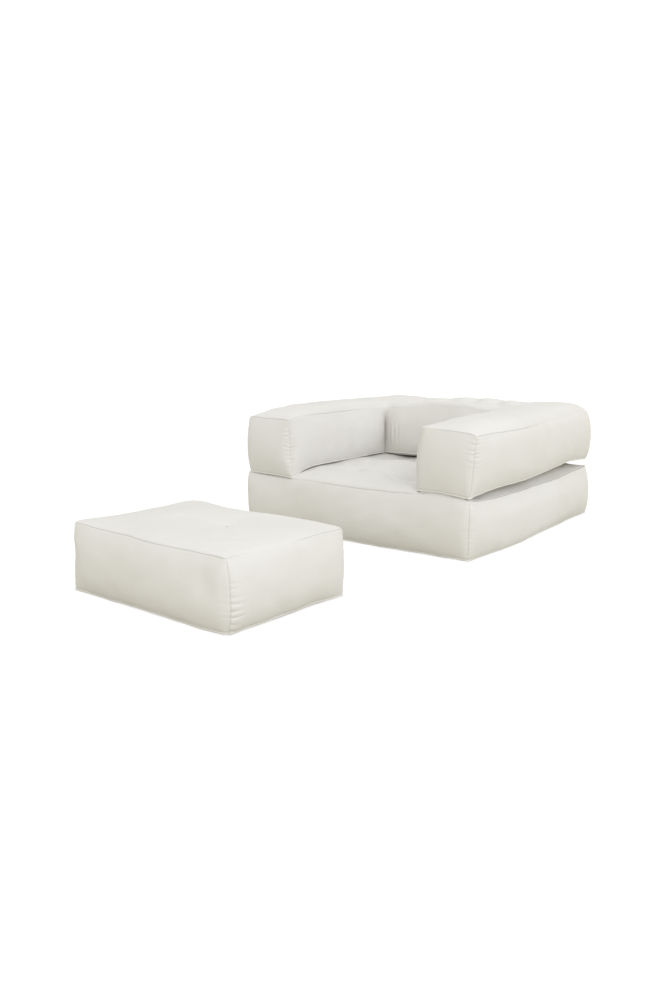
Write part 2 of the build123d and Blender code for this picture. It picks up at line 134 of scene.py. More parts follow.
# ------------------------------------------------------------------ the form of a module
class Side:
    """One upright panel. z_top and z_bot are its seams' heights along it, bulge how far it stands out at mid height,
    bow how far its seams do, seam_top how plainly the top seam is drawn, roll how softly the panel turns over into the top
    (0 an edge, 1 no edge left) and reach over what distance, power how flat its middle is, shoulder how the top rises from it
    (share, reach and power of each step, power 0 for a slow start)."""
    # seam_top and seam_bot also scale how dark the seam's line is painted: stitch line plus painted shade in its groove
    def __init__(self, z_top, z_bot, bulge=0.020, bow_top=0.0, bow_bot=0.0, seam_top=None, seam_bot=None, roll=0.45, reach=0.020,
                 power=2.4, shoulder=None):
        self.power, self.shoulder = power, shoulder
        self.z_top, self.z_bot, self.bulge = z_top, z_bot, bulge
        self.bow_top, self.bow_bot = bow_top, bow_bot
        self.seam_top, self.seam_bot = seam_top, seam_bot
        self.roll, self.reach = roll, reach


class Corner:
    """An upright seam: its place in plan, how far its top and bottom stand off that, its radius at mid height, at its
    top and at its foot, its puckers' strength on the side before it and the side after it, how deep its groove is, how
    dark its line is painted (the stitch line, with painted shade in the groove), how far it stands out at mid height,
    which way it leans there, how far its top drops, and an inside corner's radius at its top."""
    def __init__(self, x, y, top=(0, 0), bot=(0, 0), r=0.030, r_end=0.010, r_foot=None, pucker=(0.5, 0.5), groove=0.0007, mark=0.55,
                 bulge=0.020, lean=(0, 0), drop=0.0, soft=0.0):
        self.at = np.array((x, y), float)
        self.top, self.bot = np.array(top, float), np.array(bot, float)
        self.r, self.r_end = r, r_end if r > 0 else 0.0
        self.r_foot = self.r_end if r_foot is None or r <= 0 else r_foot
        self.lean, self.drop, self.soft = np.array(lean, float), drop, soft
        self.pucker, self.groove, self.mark, self.bulge = pucker, groove, mark, bulge


PITCH = 0.0160     # of the gathers along an upright seam


class Form:
    def __init__(self, seed, z0, h, corners, sides, notch=None, out_top=0.006, out_bot=0.004, gather=1.0):
        self.seed, self.z0, self.h, self.corners, self.sides, self.notch = seed, z0, h, corners, sides, notch
        n = len(corners)
        self.n = n
        self.dir, self.nrm, self.len = [], [], []
        for s in range(n):
            d = corners[(s + 1) % n].at - corners[s].at
            length = float(np.linalg.norm(d))
            d = d / length
            self.dir.append(d)
            self.nrm.append(np.array((d[1], -d[0])))
            self.len.append(length)
        for i, c in enumerate(corners):      # the seams stand a little outside the plan's corners, as they are pinched
            both = self.nrm[i - 1] + self.nrm[i]
            c.top, c.bot = c.top + out_top * both, c.bot + out_bot * both
        self.crown_top = self.crown_bot = None      # height fields over the plan
        self.shoulder_top = [(0.7, 0.05, 2.0), (0.3, 0.22, 1.8)]   # share, reach, power
        self.shoulder_bot = [(1.0, 0.016, 2.0)]
        self.tufts_top, self.tufts_bot = [], []
        self.valleys = []      # (x0, y0, x1, y1, depth, half width): folds and troughs drawn across the top
        self.wob = [Ripple(seed * 10 + i, 0.34) for i in range(3)]
        self.wob_fine = [Ripple(seed * 10 + 5 + i, 0.085) for i in range(3)]
        self.extra_side = None
        self.extra_top = None
        self.pucker_set = {}
        r = np.random.default_rng(seed + 77)
        for c in range(n):
            for which in (0, 1):
                pitch = PITCH * gather
                k = int(h / pitch)
                z = (np.arange(k) + 0.5) * pitch + r.normal(0, 0.0024, k)
                self.pucker_set[c, which] = (
                    z, r.uniform(0.35, 1.25, k), r.uniform(0.014, 0.030, k) * gather, r.normal(0, 0.09, k), r.uniform(0.0022, 0.0034, k) * gather)

    # ---- seams
    def round_off(self, s, u, f=0.0, v=1.0):
        """What the corners' radii do to points at u along side s and v up it, from f = 0 at a seam's ends to 1 at mid height."""
        t, n = self.dir[s], self.nrm[s]
        off = np.zeros((len(u), 2))
        nn = np.tile(n, (len(u), 1))
        for c, a, sign in ((self.corners[s], u, 1.0), (self.corners[(s + 1) % self.n], self.len[s] - u, -1.0)):
            turn = 1.0
            if c.r <= 0:
                turn, r = -1.0, np.maximum(c.soft * smooth((v - 0.66) / 0.30), 1e-6) + 0.0 * a
            else:
                end = c.r_foot + (c.r_end - c.r_foot) * v
                r = end + (c.r - end) * f + 0.0 * a
            m = a < r
            psi = np.where(m, (math.pi / 4) * (1 - a / r), 0.0)
            dt = np.where(m, r - r * np.sin(psi) - a, 0.0)
            dn = np.where(m, r - r * np.cos(psi), 0.0)
            off += sign * t * dt[:, None] - turn * n * dn[:, None]
            nn = np.where(m[:, None], n * np.cos(psi)[:, None] - turn * sign * t * np.sin(psi)[:, None], nn)
        return off, nn

    def line(self, s, u, top):
        """Shift in plan and height of the seam of side s at u, before the corners are rounded."""
        a, b, side = self.corners[s], self.corners[(s + 1) % self.n], self.sides[s]
        w = u / self.len[s]
        oa, ob = (a.top, b.top) if top else (a.bot, b.bot)
        off = oa * (1 - w)[:, None] + ob * w[:, None]
        bow = side.bow_top if top else side.bow_bot
        bow = bow(u) if callable(bow) else bow * (1 - (2 * w - 1) ** 2)
        off = off + self.nrm[s] * np.asarray(bow).reshape(-1, 1)
        z = (side.z_top if top else side.z_bot)(u)
        if top:
            z = z - a.drop * np.exp(-u / 0.014) - b.drop * np.exp(-(self.len[s] - u) / 0.014)
        return off, z

    def rim(self, s, u, top):
        off, z = self.line(s, u, top)
        r_off, nn = self.round_off(s, u, 0.0, 1.0 if top else 0.0)
        return off + r_off, nn, z

    def seam_gain(self, s, u, top):
        g = self.sides[s].seam_top if top else self.sides[s].seam_bot
        if g is None:
            return np.full(len(u), 1.0 if top else 0.25)
        return g(u) if callable(g) else np.full(len(u), float(g))

    GROOVE, GROOVE_W, MARK_W, PUCKER, HEM = 0.0013, 0.0022, 0.0012, 0.0040, 0.0022

    # ---- upright panels
    def side_points(self, s, u, z):
        """World points, and how dark the cover is painted there (seam lines, with painted shade in the seam grooves and
        the puckers' valleys), for points of side s at u along and z above the base.
        """
        v = z / self.h
        ot, zt = self.line(s, u, True)
        ob, zb = self.line(s, u, False)
        base = self.corners[s].at + self.dir[s] * u[:, None]
        xy = base + ob * (1 - v)[:, None] + ot * v[:, None]
        zz = zb * (1 - v) + zt * v
        f = 1 - np.abs(2 * v**0.93 - 1) ** self.sides[s].power
        r_off, nn = self.round_off(s, u, f, v)
        xy = xy + r_off
        L = self.len[s]
        ca, cb, side = self.corners[s], self.corners[(s + 1) % self.n], self.sides[s]
        xy = xy + (f * np.exp(-u / 0.06))[:, None] * ca.lean + (f * np.exp(-(L - u) / 0.06))[:, None] * cb.lean
        ea, eb = 1 - np.exp(-u / 0.05), 1 - np.exp(-(L - u) / 0.05)
        bulge = (side.bulge(u) if callable(side.bulge) else side.bulge) * ea * eb
        bulge = bulge + ca.bulge * np.exp(-u / 0.05) + cb.bulge * np.exp(-(L - u) / 0.05)
        out = bulge * f
        fade = smooth(np.minimum(z, self.h - z) / 0.012)
        # painted darkening: stitch lines along the seams, with painted shade in the seam grooves and in the puckers'
        # valleys
        mark = np.zeros(len(u))
        for c, which, a in ((ca, 1, u), (cb, 0, L - u)):
            run = fade * smooth((self.h - z - 0.050) / 0.045) if c.r <= 0 else fade
            out -= c.groove * np.exp(-(a / self.GROOVE_W) ** 2) * run
            # an upright seam's dark line: stitch line plus painted shade in its groove
            mark = np.maximum(mark, c.mark * np.exp(-(a / self.MARK_W) ** 2) * run)
            strength = c.pucker[which]
            if callable(strength) or strength:
                near = a < 0.07
                if near.any():
                    zp, amp, ln, slope, sg = self.pucker_set[self.corners.index(c), which]
                    g = strength(z[near] / self.h) if callable(strength) else strength
                    an = a[near][:, None]
                    dz = z[near][:, None] - zp - slope * an
                    tot = (amp * np.exp(-(dz / sg) ** 2) * np.exp(-(an / ln) ** 2) * (0.35 + 0.65 * smooth(an / 0.004))).sum(1)
                    out[near] -= self.PUCKER * g * (tot - 0.25) * fade[near] * np.exp(-(a[near] / 0.042) ** 2)
                    # painted shade in the puckers' valleys
                    mark[near] = np.maximum(mark[near], 0.16 * np.minimum(g, 1.0) * np.clip(tot, 0, 1) ** 2 * fade[near] * np.exp(-(a[near] / 0.014) ** 2))
        a = (self.h - z) / side.reach
        roll = side.roll(u) if callable(side.roll) else side.roll
        out += 0.17 * roll * side.reach * a * np.exp(1 - a) * (1 - np.exp(-u / 0.02)) * (1 - np.exp(-(L - u) / 0.02))
        gt = self.seam_gain(s, u, True) * np.exp(-((self.h - z) / self.GROOVE_W) ** 2)
        out -= 0.7 * self.GROOVE * gt
        zz = zz - 0.7 * self.GROOVE * gt
        out += self.HEM * (np.exp(-(z / 0.0034) ** 2) - 0.7 * np.exp(-((z - 0.0070) / 0.0030) ** 2))
        # the top and bottom seams' dark lines: stitch line plus painted shade in the groove
        mark = np.maximum(mark, self.seam_gain(s, u, True) * np.exp(-((self.h - z) / self.MARK_W) ** 2))
        mark = np.maximum(mark, self.seam_gain(s, u, False) * np.exp(-((z - 0.0065) / self.MARK_W) ** 2))
        if self.extra_side:
            out = out + self.extra_side(s, u, z) * fade
        xy = xy + nn * out[:, None]
        return np.column_stack([xy, zz]), mark

    # ---- top and bottom panels
    def near_sides(self, x, y):
        d, us = [], []
        for s in range(self.n):
            q = np.column_stack([x, y]) - self.corners[s].at
            u = np.clip(q @ self.dir[s], 0, self.len[s])
            foot = self.corners[s].at + self.dir[s] * u[:, None]
            d.append(np.hypot(x - foot[:, 0], y - foot[:, 1]))
            us.append(u)
        return np.array(d), np.array(us)

    def face_points(self, x, y, top):
        d, us = self.near_sides(x, y)
        w = 1 / (d**2 + 1e-10)
        w /= w.sum(0)
        off = np.zeros((len(x), 2))
        z = np.zeros(len(x))
        mark = np.zeros(len(x))
        swell = np.ones(len(x))
        lip = np.zeros(len(x))
        sgn = 1.0 if top else -1.0
        for s in range(self.n):
            o, nn, zs = self.rim(s, us[s], top)
            g = self.seam_gain(s, us[s], top)
            e = g * np.exp(-(d[s] / self.GROOVE_W) ** 2)
            if top:
                off += w[s][:, None] * (o - 0.7 * self.GROOVE * e[:, None] * nn)
                z += w[s] * (zs - 0.7 * self.GROOVE * e)
                # the top seam's dark line: stitch line plus painted shade in its groove
                mark = np.maximum(mark, g * np.exp(-(d[s] / self.MARK_W) ** 2))
                side = self.sides[s]
                a = d[s] / side.reach
                roll = side.roll(us[s]) if callable(side.roll) else side.roll
                lip = lip + 0.20 * roll * side.reach * a * np.exp(1 - a)
            else:
                off += w[s][:, None] * (o + self.HEM * np.exp(-(d[s] / 0.0030) ** 2)[:, None] * nn)
                z += w[s] * zs
            f = np.zeros(len(x))
            for share, reach, power in ((self.sides[s].shoulder or self.shoulder_top) if top else self.shoulder_bot):
                t = np.clip(d[s] / reach, 0, 1)
                f += share * (1 - (1 - t) ** power if power else smooth(t))
            swell *= f
        crown = (self.crown_top if top else self.crown_bot)(x, y)
        z = z + (crown - z) * swell + lip * np.clip(crown - z, 0, 0.02) / 0.02
        inside = smooth(d.min(0) / 0.06)
        for tx, ty, depth, reach, folds in (self.tufts_top if top else self.tufts_bot):
            dx, dy = x - tx, y - ty
            r = np.hypot(dx, dy)
            dip = depth * (1 + (r / reach) ** 2) ** -1.4
            dip += 0.22 * depth * np.exp(-r / 0.012)
            for ang, amp, length, width in folds:
                ca, sa = math.cos(ang), math.sin(ang)
                al, pe = dx * ca + dy * sa, -dx * sa + dy * ca
                wd = width * (1 + np.clip(al, 0, 1) * 5)
                run = smooth(al / 0.02 + 0.3) * np.exp(-np.clip(al, 0, 9) / length)
                dip += amp * run * (np.exp(-(pe / wd) ** 2) - 0.45 * np.exp(-((pe - 2.0 * wd) / (1.3 * wd)) ** 2)
                                    - 0.45 * np.exp(-((pe + 2.0 * wd) / (1.3 * wd)) ** 2))
            z = z - sgn * dip * inside
        for x0, y0, x1, y1, depth, width in (self.valleys if top else ()):
            ln = math.hypot(x1 - x0, y1 - y0)
            al = ((x - x0) * (x1 - x0) + (y - y0) * (y1 - y0)) / ln
            pe = ((x - x0) * (y1 - y0) - (y - y0) * (x1 - x0)) / ln
            pe = pe - 0.06 * ln * np.sin(math.pi * np.clip(al / ln, 0, 1)) ** 2
            ends = smooth(al / (0.3 * ln) + 0.5) * smooth((ln - al) / (0.3 * ln) + 0.5)
            z = z - depth * np.exp(-(pe / width) ** 2) * ends * inside
        if self.extra_top and top:
            z = z + self.extra_top(x, y) * inside
        return np.column_stack([x + off[:, 0], y + off[:, 1], z]), mark

    def wobble(self, p, base):
        q = base
        fade = np.ones(len(q))
        add = np.column_stack([w(q) for w in self.wob]) * 0.0016 + np.column_stack([w(q) for w in self.wob_fine]) * 0.00045
        add[:, 2] *= 0.8
        return p + add * fade[:, None]

    # ---- the closed mesh
    def shell(self, xs, ys, zs):
        nx, ny, nz = len(xs), len(ys), len(zs)
        cx, cy = (xs[:-1] + xs[1:]) / 2, (ys[:-1] + ys[1:]) / 2
        cell = np.ones((nx - 1, ny - 1), bool)
        if self.notch:
            x0, x1, y1 = self.notch
            cell &= ~((cx[:, None] > x0) & (cx[:, None] < x1) & (cy[None, :] < y1))
        node = np.zeros((nx, ny), bool)
        for a in (slice(0, -1), slice(1, None)):
            for b in (slice(0, -1), slice(1, None)):
                node[a, b] |= cell
        ti = -np.ones((nx, ny), int)
        ti[node] = np.arange(node.sum())
        n_face = int(node.sum())
        bi = np.where(ti >= 0, ti + n_face, -1)
        gx, gy = np.nonzero(node)
        x, y = xs[gx], ys[gy]
        pt, mt = self.face_points(x, y, True)
        pb, mb = self.face_points(x, y, False)
        base_t = np.column_stack([x, y, np.full(n_face, self.z0 + self.h)])
        base_b = np.column_stack([x, y, np.full(n_face, self.z0)])
        find = lambda arr, v: int(np.argmin(np.abs(arr - v)))
        loop, side_of, u_of = [], [], []
        for s in range(self.n):
            a, b = self.corners[s].at, self.corners[(s + 1) % self.n].at
            ia, ja, ib, jb = find(xs, a[0]), find(ys, a[1]), find(xs, b[0]), find(ys, b[1])
            k = max(abs(ib - ia), abs(jb - ja))
            for m in range(k):
                i, j = ia + (ib - ia) * m // k, ja + (jb - ja) * m // k
                loop.append((i, j))
                side_of.append(s)
                u_of.append(abs(xs[i] - a[0]) + abs(ys[j] - a[1]))
        loop = np.array(loop)
        side_of, u_of = np.array(side_of), np.array(u_of)
        nl, inner = len(loop), nz - 2
        si = 2 * n_face + np.arange(nl * inner).reshape(nl, inner)
        ps = np.zeros((nl, inner, 3))
        ms = np.zeros((nl, inner))
        for s in range(self.n):
            m = np.nonzero(side_of == s)[0]
            uu = np.repeat(u_of[m], inner)
            vv = np.tile(zs[1:-1], len(m))
            p, mk = self.side_points(s, uu, vv)
            ps[m], ms[m] = p.reshape(len(m), inner, 3), mk.reshape(len(m), inner)
        bs = np.zeros((nl, inner, 3))
        bs[:, :, 0], bs[:, :, 1] = xs[loop[:, 0]][:, None], ys[loop[:, 1]][:, None]
        bs[:, :, 2] = self.z0 + zs[1:-1][None, :]
        P = np.vstack([pt, pb, ps.reshape(-1, 3)])
        B = np.vstack([base_t, base_b, bs.reshape(-1, 3)])
        M = np.concatenate([mt, mb, ms.ravel()])
        ci, cj = np.nonzero(cell)
        q = lambda ar: np.column_stack([ar[ci, cj], ar[ci + 1, cj], ar[ci + 1, cj + 1], ar[ci, cj + 1]])
        faces = [q(ti), q(bi)[:, ::-1]]
        col = np.column_stack([bi[loop[:, 0], loop[:, 1]], si, ti[loop[:, 0], loop[:, 1]]])
        nxt = np.roll(col, -1, axis=0)
        f = np.stack([col[:, :-1], nxt[:, :-1], nxt[:, 1:], col[:, 1:]], axis=-1).reshape(-1, 4)
        faces.append(f)
        self.last = dict(ti=ti, bi=bi, col=col, side_of=side_of, u_of=u_of, xs=xs, ys=ys, zs=zs, n_face=n_face)
        return P, B, M, np.vstack(faces)


def mesh_object(name, P, F, mark=None):
    me = bpy.data.meshes.new(name)
    me.vertices.add(len(P))
    me.vertices.foreach_set("co", np.asarray(P, np.float32).ravel())
    k = F.shape[1]
    me.loops.add(F.size)
    me.loops.foreach_set("vertex_index", np.asarray(F, np.int32).ravel())
    me.polygons.add(len(F))
    me.polygons.foreach_set("loop_start", np.arange(0, F.size, k, dtype=np.int32))
    me.polygons.foreach_set("use_smooth", np.ones(len(F), bool))
    me.update(calc_edges=True)
    me.validate()
    if mark is not None:
        # per-point darkening for the cover's material: stitch lines, with painted shade in the seam grooves and pucker
        # valleys
        at = me.attributes.new("seam", "FLOAT", "POINT")
        at.data.foreach_set("value", np.asarray(mark, np.float32))
    ob = bpy.data.objects.new(name, me)
    scene.collection.objects.link(ob)
    return ob


# ------------------------------------------------------------------ the three modules
def flat(z):
    return curve((0, z), (9, z))


rng = np.random.default_rng(5)


def folds(*angles, amp=0.0035, length=0.075, width=0.008):
    return [(math.radians(a), amp * k, length * (0.8 + 0.4 * k), width) for a, k in angles]


def blend_points(points, spread):
    """A smooth height field through scattered (x, y, z) points."""
    p = np.array(points, float)

    def at(x, y):
        d2 = ((x[:, None] - p[:, 0]) ** 2 + (y[:, None] - p[:, 1]) ** 2) / spread**2
        w = np.exp(-d2) + 1e-9 / (1 + d2)
        return (w * p[:, 2]).sum(1) / w.sum(1)
    return at


# seat slab: 1.00 x 1.07 m, 0.232 m thick
SX, SY0, SY1, SH = 0.5, -0.535, 0.535, 0.232
seat = Form(
    3, 0.0, SH,
    [
        Corner(-SX, SY0, pucker=(0.3, 0.3), bulge=0.016),
        Corner(SX, SY0, bot=(0.005, -0.005), pucker=(0.25, 0.28), mark=0.6),
        Corner(SX, SY1, top=(-0.003, -0.003), bot=(0.003, 0.002), pucker=(0.5, 0.4), bulge=0.015),
        Corner(-SX, SY1, top=(0.002, -0.002), pucker=(0.4, 0.5)),
    ],
    [
        Side(curve((0, 0.2195), (0.2, 0.216), (0.28, 0.2135), (0.47, 0.211), (0.67, 0.211), (0.78, 0.2155), (0.94, 0.2175), (1.0, 0.212)),
             curve((0, 0.003), (0.3, 0.004), (0.7, 0.003), (1.0, 0.002)), bulge=0.028,
             bow_bot=0.004, seam_top=curve((0, 0.8), (0.28, 0.35), (0.36, 0.7), (0.45, 1.0), (0.74, 1.0), (0.80, 0.2), (0.95, 0.2), (1.0, 0.6)),
             roll=curve((0, 1.0), (0.2, 1.0), (0.3, 1.1), (0.7, 1.1), (0.78, 1.5), (0.97, 1.5), (1.0, 1.0)), reach=0.022, power=2.0),
        Side(curve((0, 0.212), (0.046, 0.205), (0.18, 0.196), (0.31, 0.1945), (0.454, 0.1935), (0.753, 0.198), (1.02, 0.2095), (1.07, 0.211)),
             curve((0, 0.001), (0.35, 0.002), (0.55, 0.005), (0.8, 0.003), (1.07, 0.002)), bulge=0.026, bow_bot=curve((0, 0), (0.15, 0.009), (0.35, 0.016), (0.7, 0.013), (1.07, 0)), roll=0.2,
             seam_top=curve((0, 0.6), (0.06, 1.5), (0.4, 2.2), (1.07, 3.0)), shoulder=[(1.0, 0.125, 0)]),
        Side(curve((0, 0.211), (0.2, 0.199), (0.5, 0.195), (0.8, 0.198), (1.0, 0.209)), flat(0.004), bulge=0.028),
        Side(curve((0, 0.209), (0.28, 0.205), (0.6, 0.206), (0.93, 0.214), (1.03, 0.218), (1.07, 0.2195)),
             curve((0, 0.004), (0.5, 0.005), (1.07, 0.003)), bulge=0.028),
    ],
)
seat.shoulder_top = [(0.55, 0.045, 2.0), (0.45, 0.20, 1.9)]
seat.crown_top = blend_points(
    [(x, y, 0.2330) for x in (-0.46, -0.40) for y in (-0.48, -0.3, -0.1, 0.1, 0.3, 0.48)]
    + [(0.46, -0.48, 0.2280), (0.41, -0.48, 0.2330)] + [(x, y, z) for x, z in ((0.46, 0.2290), (0.41, 0.2330)) for y in (-0.36, -0.24, -0.1, 0.1, 0.3, 0.46)]
    + [(x, y, 0.2330) for x in (-0.25, 0.0, 0.25) for y in (0.24, 0.36, 0.48)]
    + [(-0.13, -0.10, 0.255), (-0.09, -0.16, 0.253)]
    + [(-0.27, -0.45, 0.2385), (-0.26, -0.36, 0.2445), (-0.26, -0.2, 0.246), (-0.26, -0.05, 0.247), (-0.25, 0.09, 0.246),
       (-0.17, 0.10, 0.234), (-0.12, 0.10, 0.236), (-0.02, 0.09, 0.241), (0.10, 0.09, 0.242), (0.22, 0.09, 0.243),
       (-0.15, -0.40, 0.240), (0.0, -0.42, 0.241), (0.15, -0.40, 0.239), (-0.10, -0.15, 0.245), (0.02, -0.12, 0.246), (0.10, -0.15, 0.244),
       (0.0, -0.28, 0.242), (0.26, -0.36, 0.240), (0.26, -0.2, 0.243), (0.26, -0.05, 0.244)],
    0.055)
seat.crown_bot = lambda x, y: np.zeros(len(x))
TUFT_SEAT = [(sx * 0.16, sy) for sy in (-0.27, 0.03, 0.33) for sx in (-1, 1)]
seat.tufts_top = [
    (-0.16, -0.27, 0.020, 0.050, folds((15, 1.2), (80, 0.6), (170, 0.7), (250, 0.7), (310, 0.5))),
    (0.16, -0.27, 0.034, 0.085, folds((172, 1.3), (120, 0.7), (10, 0.5), (280, 0.7), (215, 0.9))),
    (-0.16, 0.03, 0.020, 0.050, folds((350, 0.9), (95, 0.5), (190, 0.9), (265, 0.8), (40, 0.5))),
    (0.16, 0.03, 0.022, 0.060, folds((175, 0.8), (85, 0.5), (0, 0.6), (270, 0.7), (220, 0.5))),
    (-0.16, 0.33, 0.010, 0.05, folds((0, 0.8), (90, 0.5), (180, 0.6), (270, 0.8))),
    (0.16, 0.33, 0.010, 0.05, folds((180, 0.8), (90, 0.5), (0, 0.6), (270, 0.8))),
]
seat.valleys = [
    (-0.16, -0.27, 0.16, -0.27, 0.0050, 0.028), (-0.19, -0.255, -0.04, -0.268, 0.0028, 0.0055),
    (-0.16, 0.03, 0.16, 0.03, 0.0040, 0.030), (-0.24, 0.02, -0.10, 0.035, 0.0022, 0.006),
    (-0.16, -0.27, -0.16, 0.03, 0.0035, 0.028), (0.16, -0.27, 0.16, 0.03, 0.0040, 0.030),
    (0.03, -0.20, 0.15, -0.27, 0.0030, 0.010), (-0.23, -0.12, -0.12, -0.06, 0.0020, 0.008),
    (-0.16, -0.27, -0.26, -0.44, 0.0030, 0.014), (0.16, -0.27, 0.25, -0.42, 0.0030, 0.016),
    (-0.140, -0.225, 0.01, -0.120, 0.0078, 0.0125), (-0.03, -0.285, 0.20, -0.405, 0.0090, 0.0120), (0.05, -0.345, 0.27, -0.455, 0.0060, 0.024), (-0.21, -0.06, -0.11, -0.20, 0.0032, 0.010),
]
seat.tufts_bot = [(x, y, 0.008, 0.03, folds((20, 0.5), (140, 0.5), (260, 0.5), amp=0.0015)) for x, y in TUFT_SEAT]

# upper part: arms 0.214 m wide, the seat between them 0.572 wide and 0.669 deep
UZ, UH, GX, GY = 0.236, 0.232, 0.286, 0.134
mid_part = curve((0, 0.2), (0.12, 0.5), (0.3, 1.0), (0.7, 1.0), (0.88, 0.6), (1, 0.2))
upper_part = curve((0, 0.05), (0.45, 0.15), (0.6, 0.8), (0.85, 1.1), (1, 0.6))
upper = Form(
    4, UZ, UH,
    [
        Corner(-SX, SY0, top=(-0.001, 0.006), bot=(0.006, 0), pucker=(0.4, 0.35), bulge=0.016),
        Corner(-GX, SY0, top=(-0.015, 0.008), bot=(0.011, -0.001), pucker=(lambda v: 0.72 * mid_part(v), lambda v: 0.70 * mid_part(v)),
               r=0.034, groove=0.0004, mark=0.14, bulge=0.013, lean=(-0.009, 0.0)),
        Corner(-GX, GY, top=(-0.003, 0.003), bot=(0, 0), r=0, pucker=(0.3, 0.4), groove=0.0026, mark=0.8, bulge=0.002, soft=0.040),
        Corner(GX, GY, top=(0.003, 0.003), bot=(0, 0), r=0, pucker=(0.4, 0.3), groove=0.0026, mark=0.8, bulge=0.002, soft=0.040),
        Corner(GX, SY0, top=(0.015, 0.006), bot=(0.010, 0), pucker=(0.3, 0.2), r=0.032, r_end=0.028, r_foot=0.012, bulge=0.011, drop=0.006),
        Corner(SX, SY0, top=(0.021, 0.008), bot=(0.003, -0.002), pucker=(lambda v: 0.85 * upper_part(v), lambda v: 0.95 * upper_part(v)),
               r=0.024, bulge=0.011),
        Corner(SX, SY1, top=(0.000, -0.004), bot=(-0.001, 0), pucker=(0.5, 0.5), r=0.036, r_end=0.024, bulge=0.019),
        Corner(-SX, SY1, top=(-0.003, -0.004), bot=(-0.002, 0), pucker=(0.5, 0.5), r=0.034, r_end=0.020),
    ],
    [
        Side(curve((0, 0.442), (0.03, 0.4455), (0.09, 0.4445), (0.15, 0.445), (0.214, 0.4435)),
             curve((0, 0.2265), (0.06, 0.2255), (0.12, 0.2250), (0.18, 0.2215), (0.214, 0.2170)), bulge=0.027,
             seam_top=curve((0, 0.3), (0.04, 0.9), (0.16, 1.0), (0.214, 0.7)), seam_bot=0.8, power=2.0),
        Side(curve((0, 0.4435), (0.033, 0.452), (0.125, 0.457), (0.245, 0.456), (0.355, 0.4555), (0.465, 0.456), (0.604, 0.453), (0.669, 0.453)),
             curve((0, 0.2170), (0.028, 0.2295), (0.065, 0.2425), (0.14, 0.2500), (0.25, 0.2520), (0.45, 0.2530), (0.6, 0.2530), (0.669, 0.251)),
             bulge=0.026, seam_top=curve((0, 0.2), (0.08, 0.3), (0.14, 0.9), (0.38, 1.0), (0.5, 0.4), (0.62, 0.1), (0.669, 0.0)),
             roll=curve((0, 0.5), (0.35, 0.40), (0.669, 0.25)), reach=0.024, power=2.1,
             shoulder=[(0.55, 0.042, 2.0), (0.45, 0.107, 2.0)]),
        Side(curve((0, 0.455), (0.056, 0.461), (0.136, 0.4605), (0.161, 0.466), (0.229, 0.4745), (0.296, 0.480), (0.394, 0.480), (0.454, 0.473), (0.512, 0.463), (0.572, 0.452)),
             curve((0, 0.251), (0.06, 0.253), (0.286, 0.254), (0.572, 0.251)), bulge=0.028, seam_top=0.0, roll=0.12, reach=0.026, shoulder=[(1.0, 0.024, 2.0)]),
        Side(curve((0, 0.449), (0.07, 0.453), (0.3, 0.456), (0.6, 0.454), (0.669, 0.447)),
             curve((0, 0.251), (0.25, 0.250), (0.45, 0.246), (0.58, 0.236), (0.669, 0.2255)), bulge=0.022, seam_top=curve((0, 0.1), (0.1, 0.5), (0.669, 0.4)), roll=curve((0, 0.4), (0.2, 0.8), (0.669, 0.8)), reach=0.026, shoulder=[(0.55, 0.042, 2.0), (0.45, 0.107, 2.0)]),
        Side(curve((0, 0.447), (0.05, 0.4465), (0.13, 0.446), (0.18, 0.443), (0.214, 0.435)),
             curve((0, 0.2255), (0.07, 0.227), (0.14, 0.226), (0.19, 0.2215), (0.214, 0.2185)), bulge=0.025,
             seam_top=curve((0, 0.05), (0.05, 0.2), (0.10, 0.9), (0.214, 1.1)), seam_bot=0.8,
             roll=curve((0, 0.85), (0.06, 0.8), (0.13, 0.5), (0.214, 0.4)), power=2.1),
        Side(curve((0, 0.435), (0.14, 0.433), (0.28, 0.4325), (0.39, 0.432), (0.57, 0.434), (0.8, 0.440), (0.95, 0.445), (1.07, 0.440)),
             curve((0, 0.2195), (0.04, 0.2260), (0.11, 0.2275), (0.26, 0.2300), (0.44, 0.2315), (0.63, 0.2390), (0.76, 0.2455), (0.88, 0.2510), (1.0, 0.2470), (1.07, 0.240)),
             bulge=0.024, bow_top=-0.003, seam_top=curve((0, 1), (0.38, 0.9), (0.55, 0.25), (0.68, 0.0), (1.07, 0.0)), seam_bot=0.5,
             roll=curve((0, 0.5), (0.4, 0.6), (0.7, 1.1), (1.07, 1.3))),
        Side(curve((0, 0.440), (0.3, 0.449), (0.7, 0.449), (1.0, 0.443)), curve((0, 0.240), (0.3, 0.249), (0.7, 0.249), (1.0, 0.240)),
             bulge=0.028, roll=curve((0, 1.2), (0.2, 0.7), (1.0, 0.7))),
        Side(curve((0, 0.443), (0.3, 0.444), (0.7, 0.442), (1.07, 0.442)), curve((0, 0.240), (0.4, 0.238), (0.8, 0.233), (1.07, 0.2265)),
             bulge=0.028, roll=0.6),
    ],
    notch=(-GX, GX, GY),
)
upper.shoulder_top = [(0.45, 0.045, 2.0), (0.55, 0.107, 2.0)]
upper.shoulder_bot = [(0.5, 0.045, 2.0), (0.5, 0.107, 2.0)]
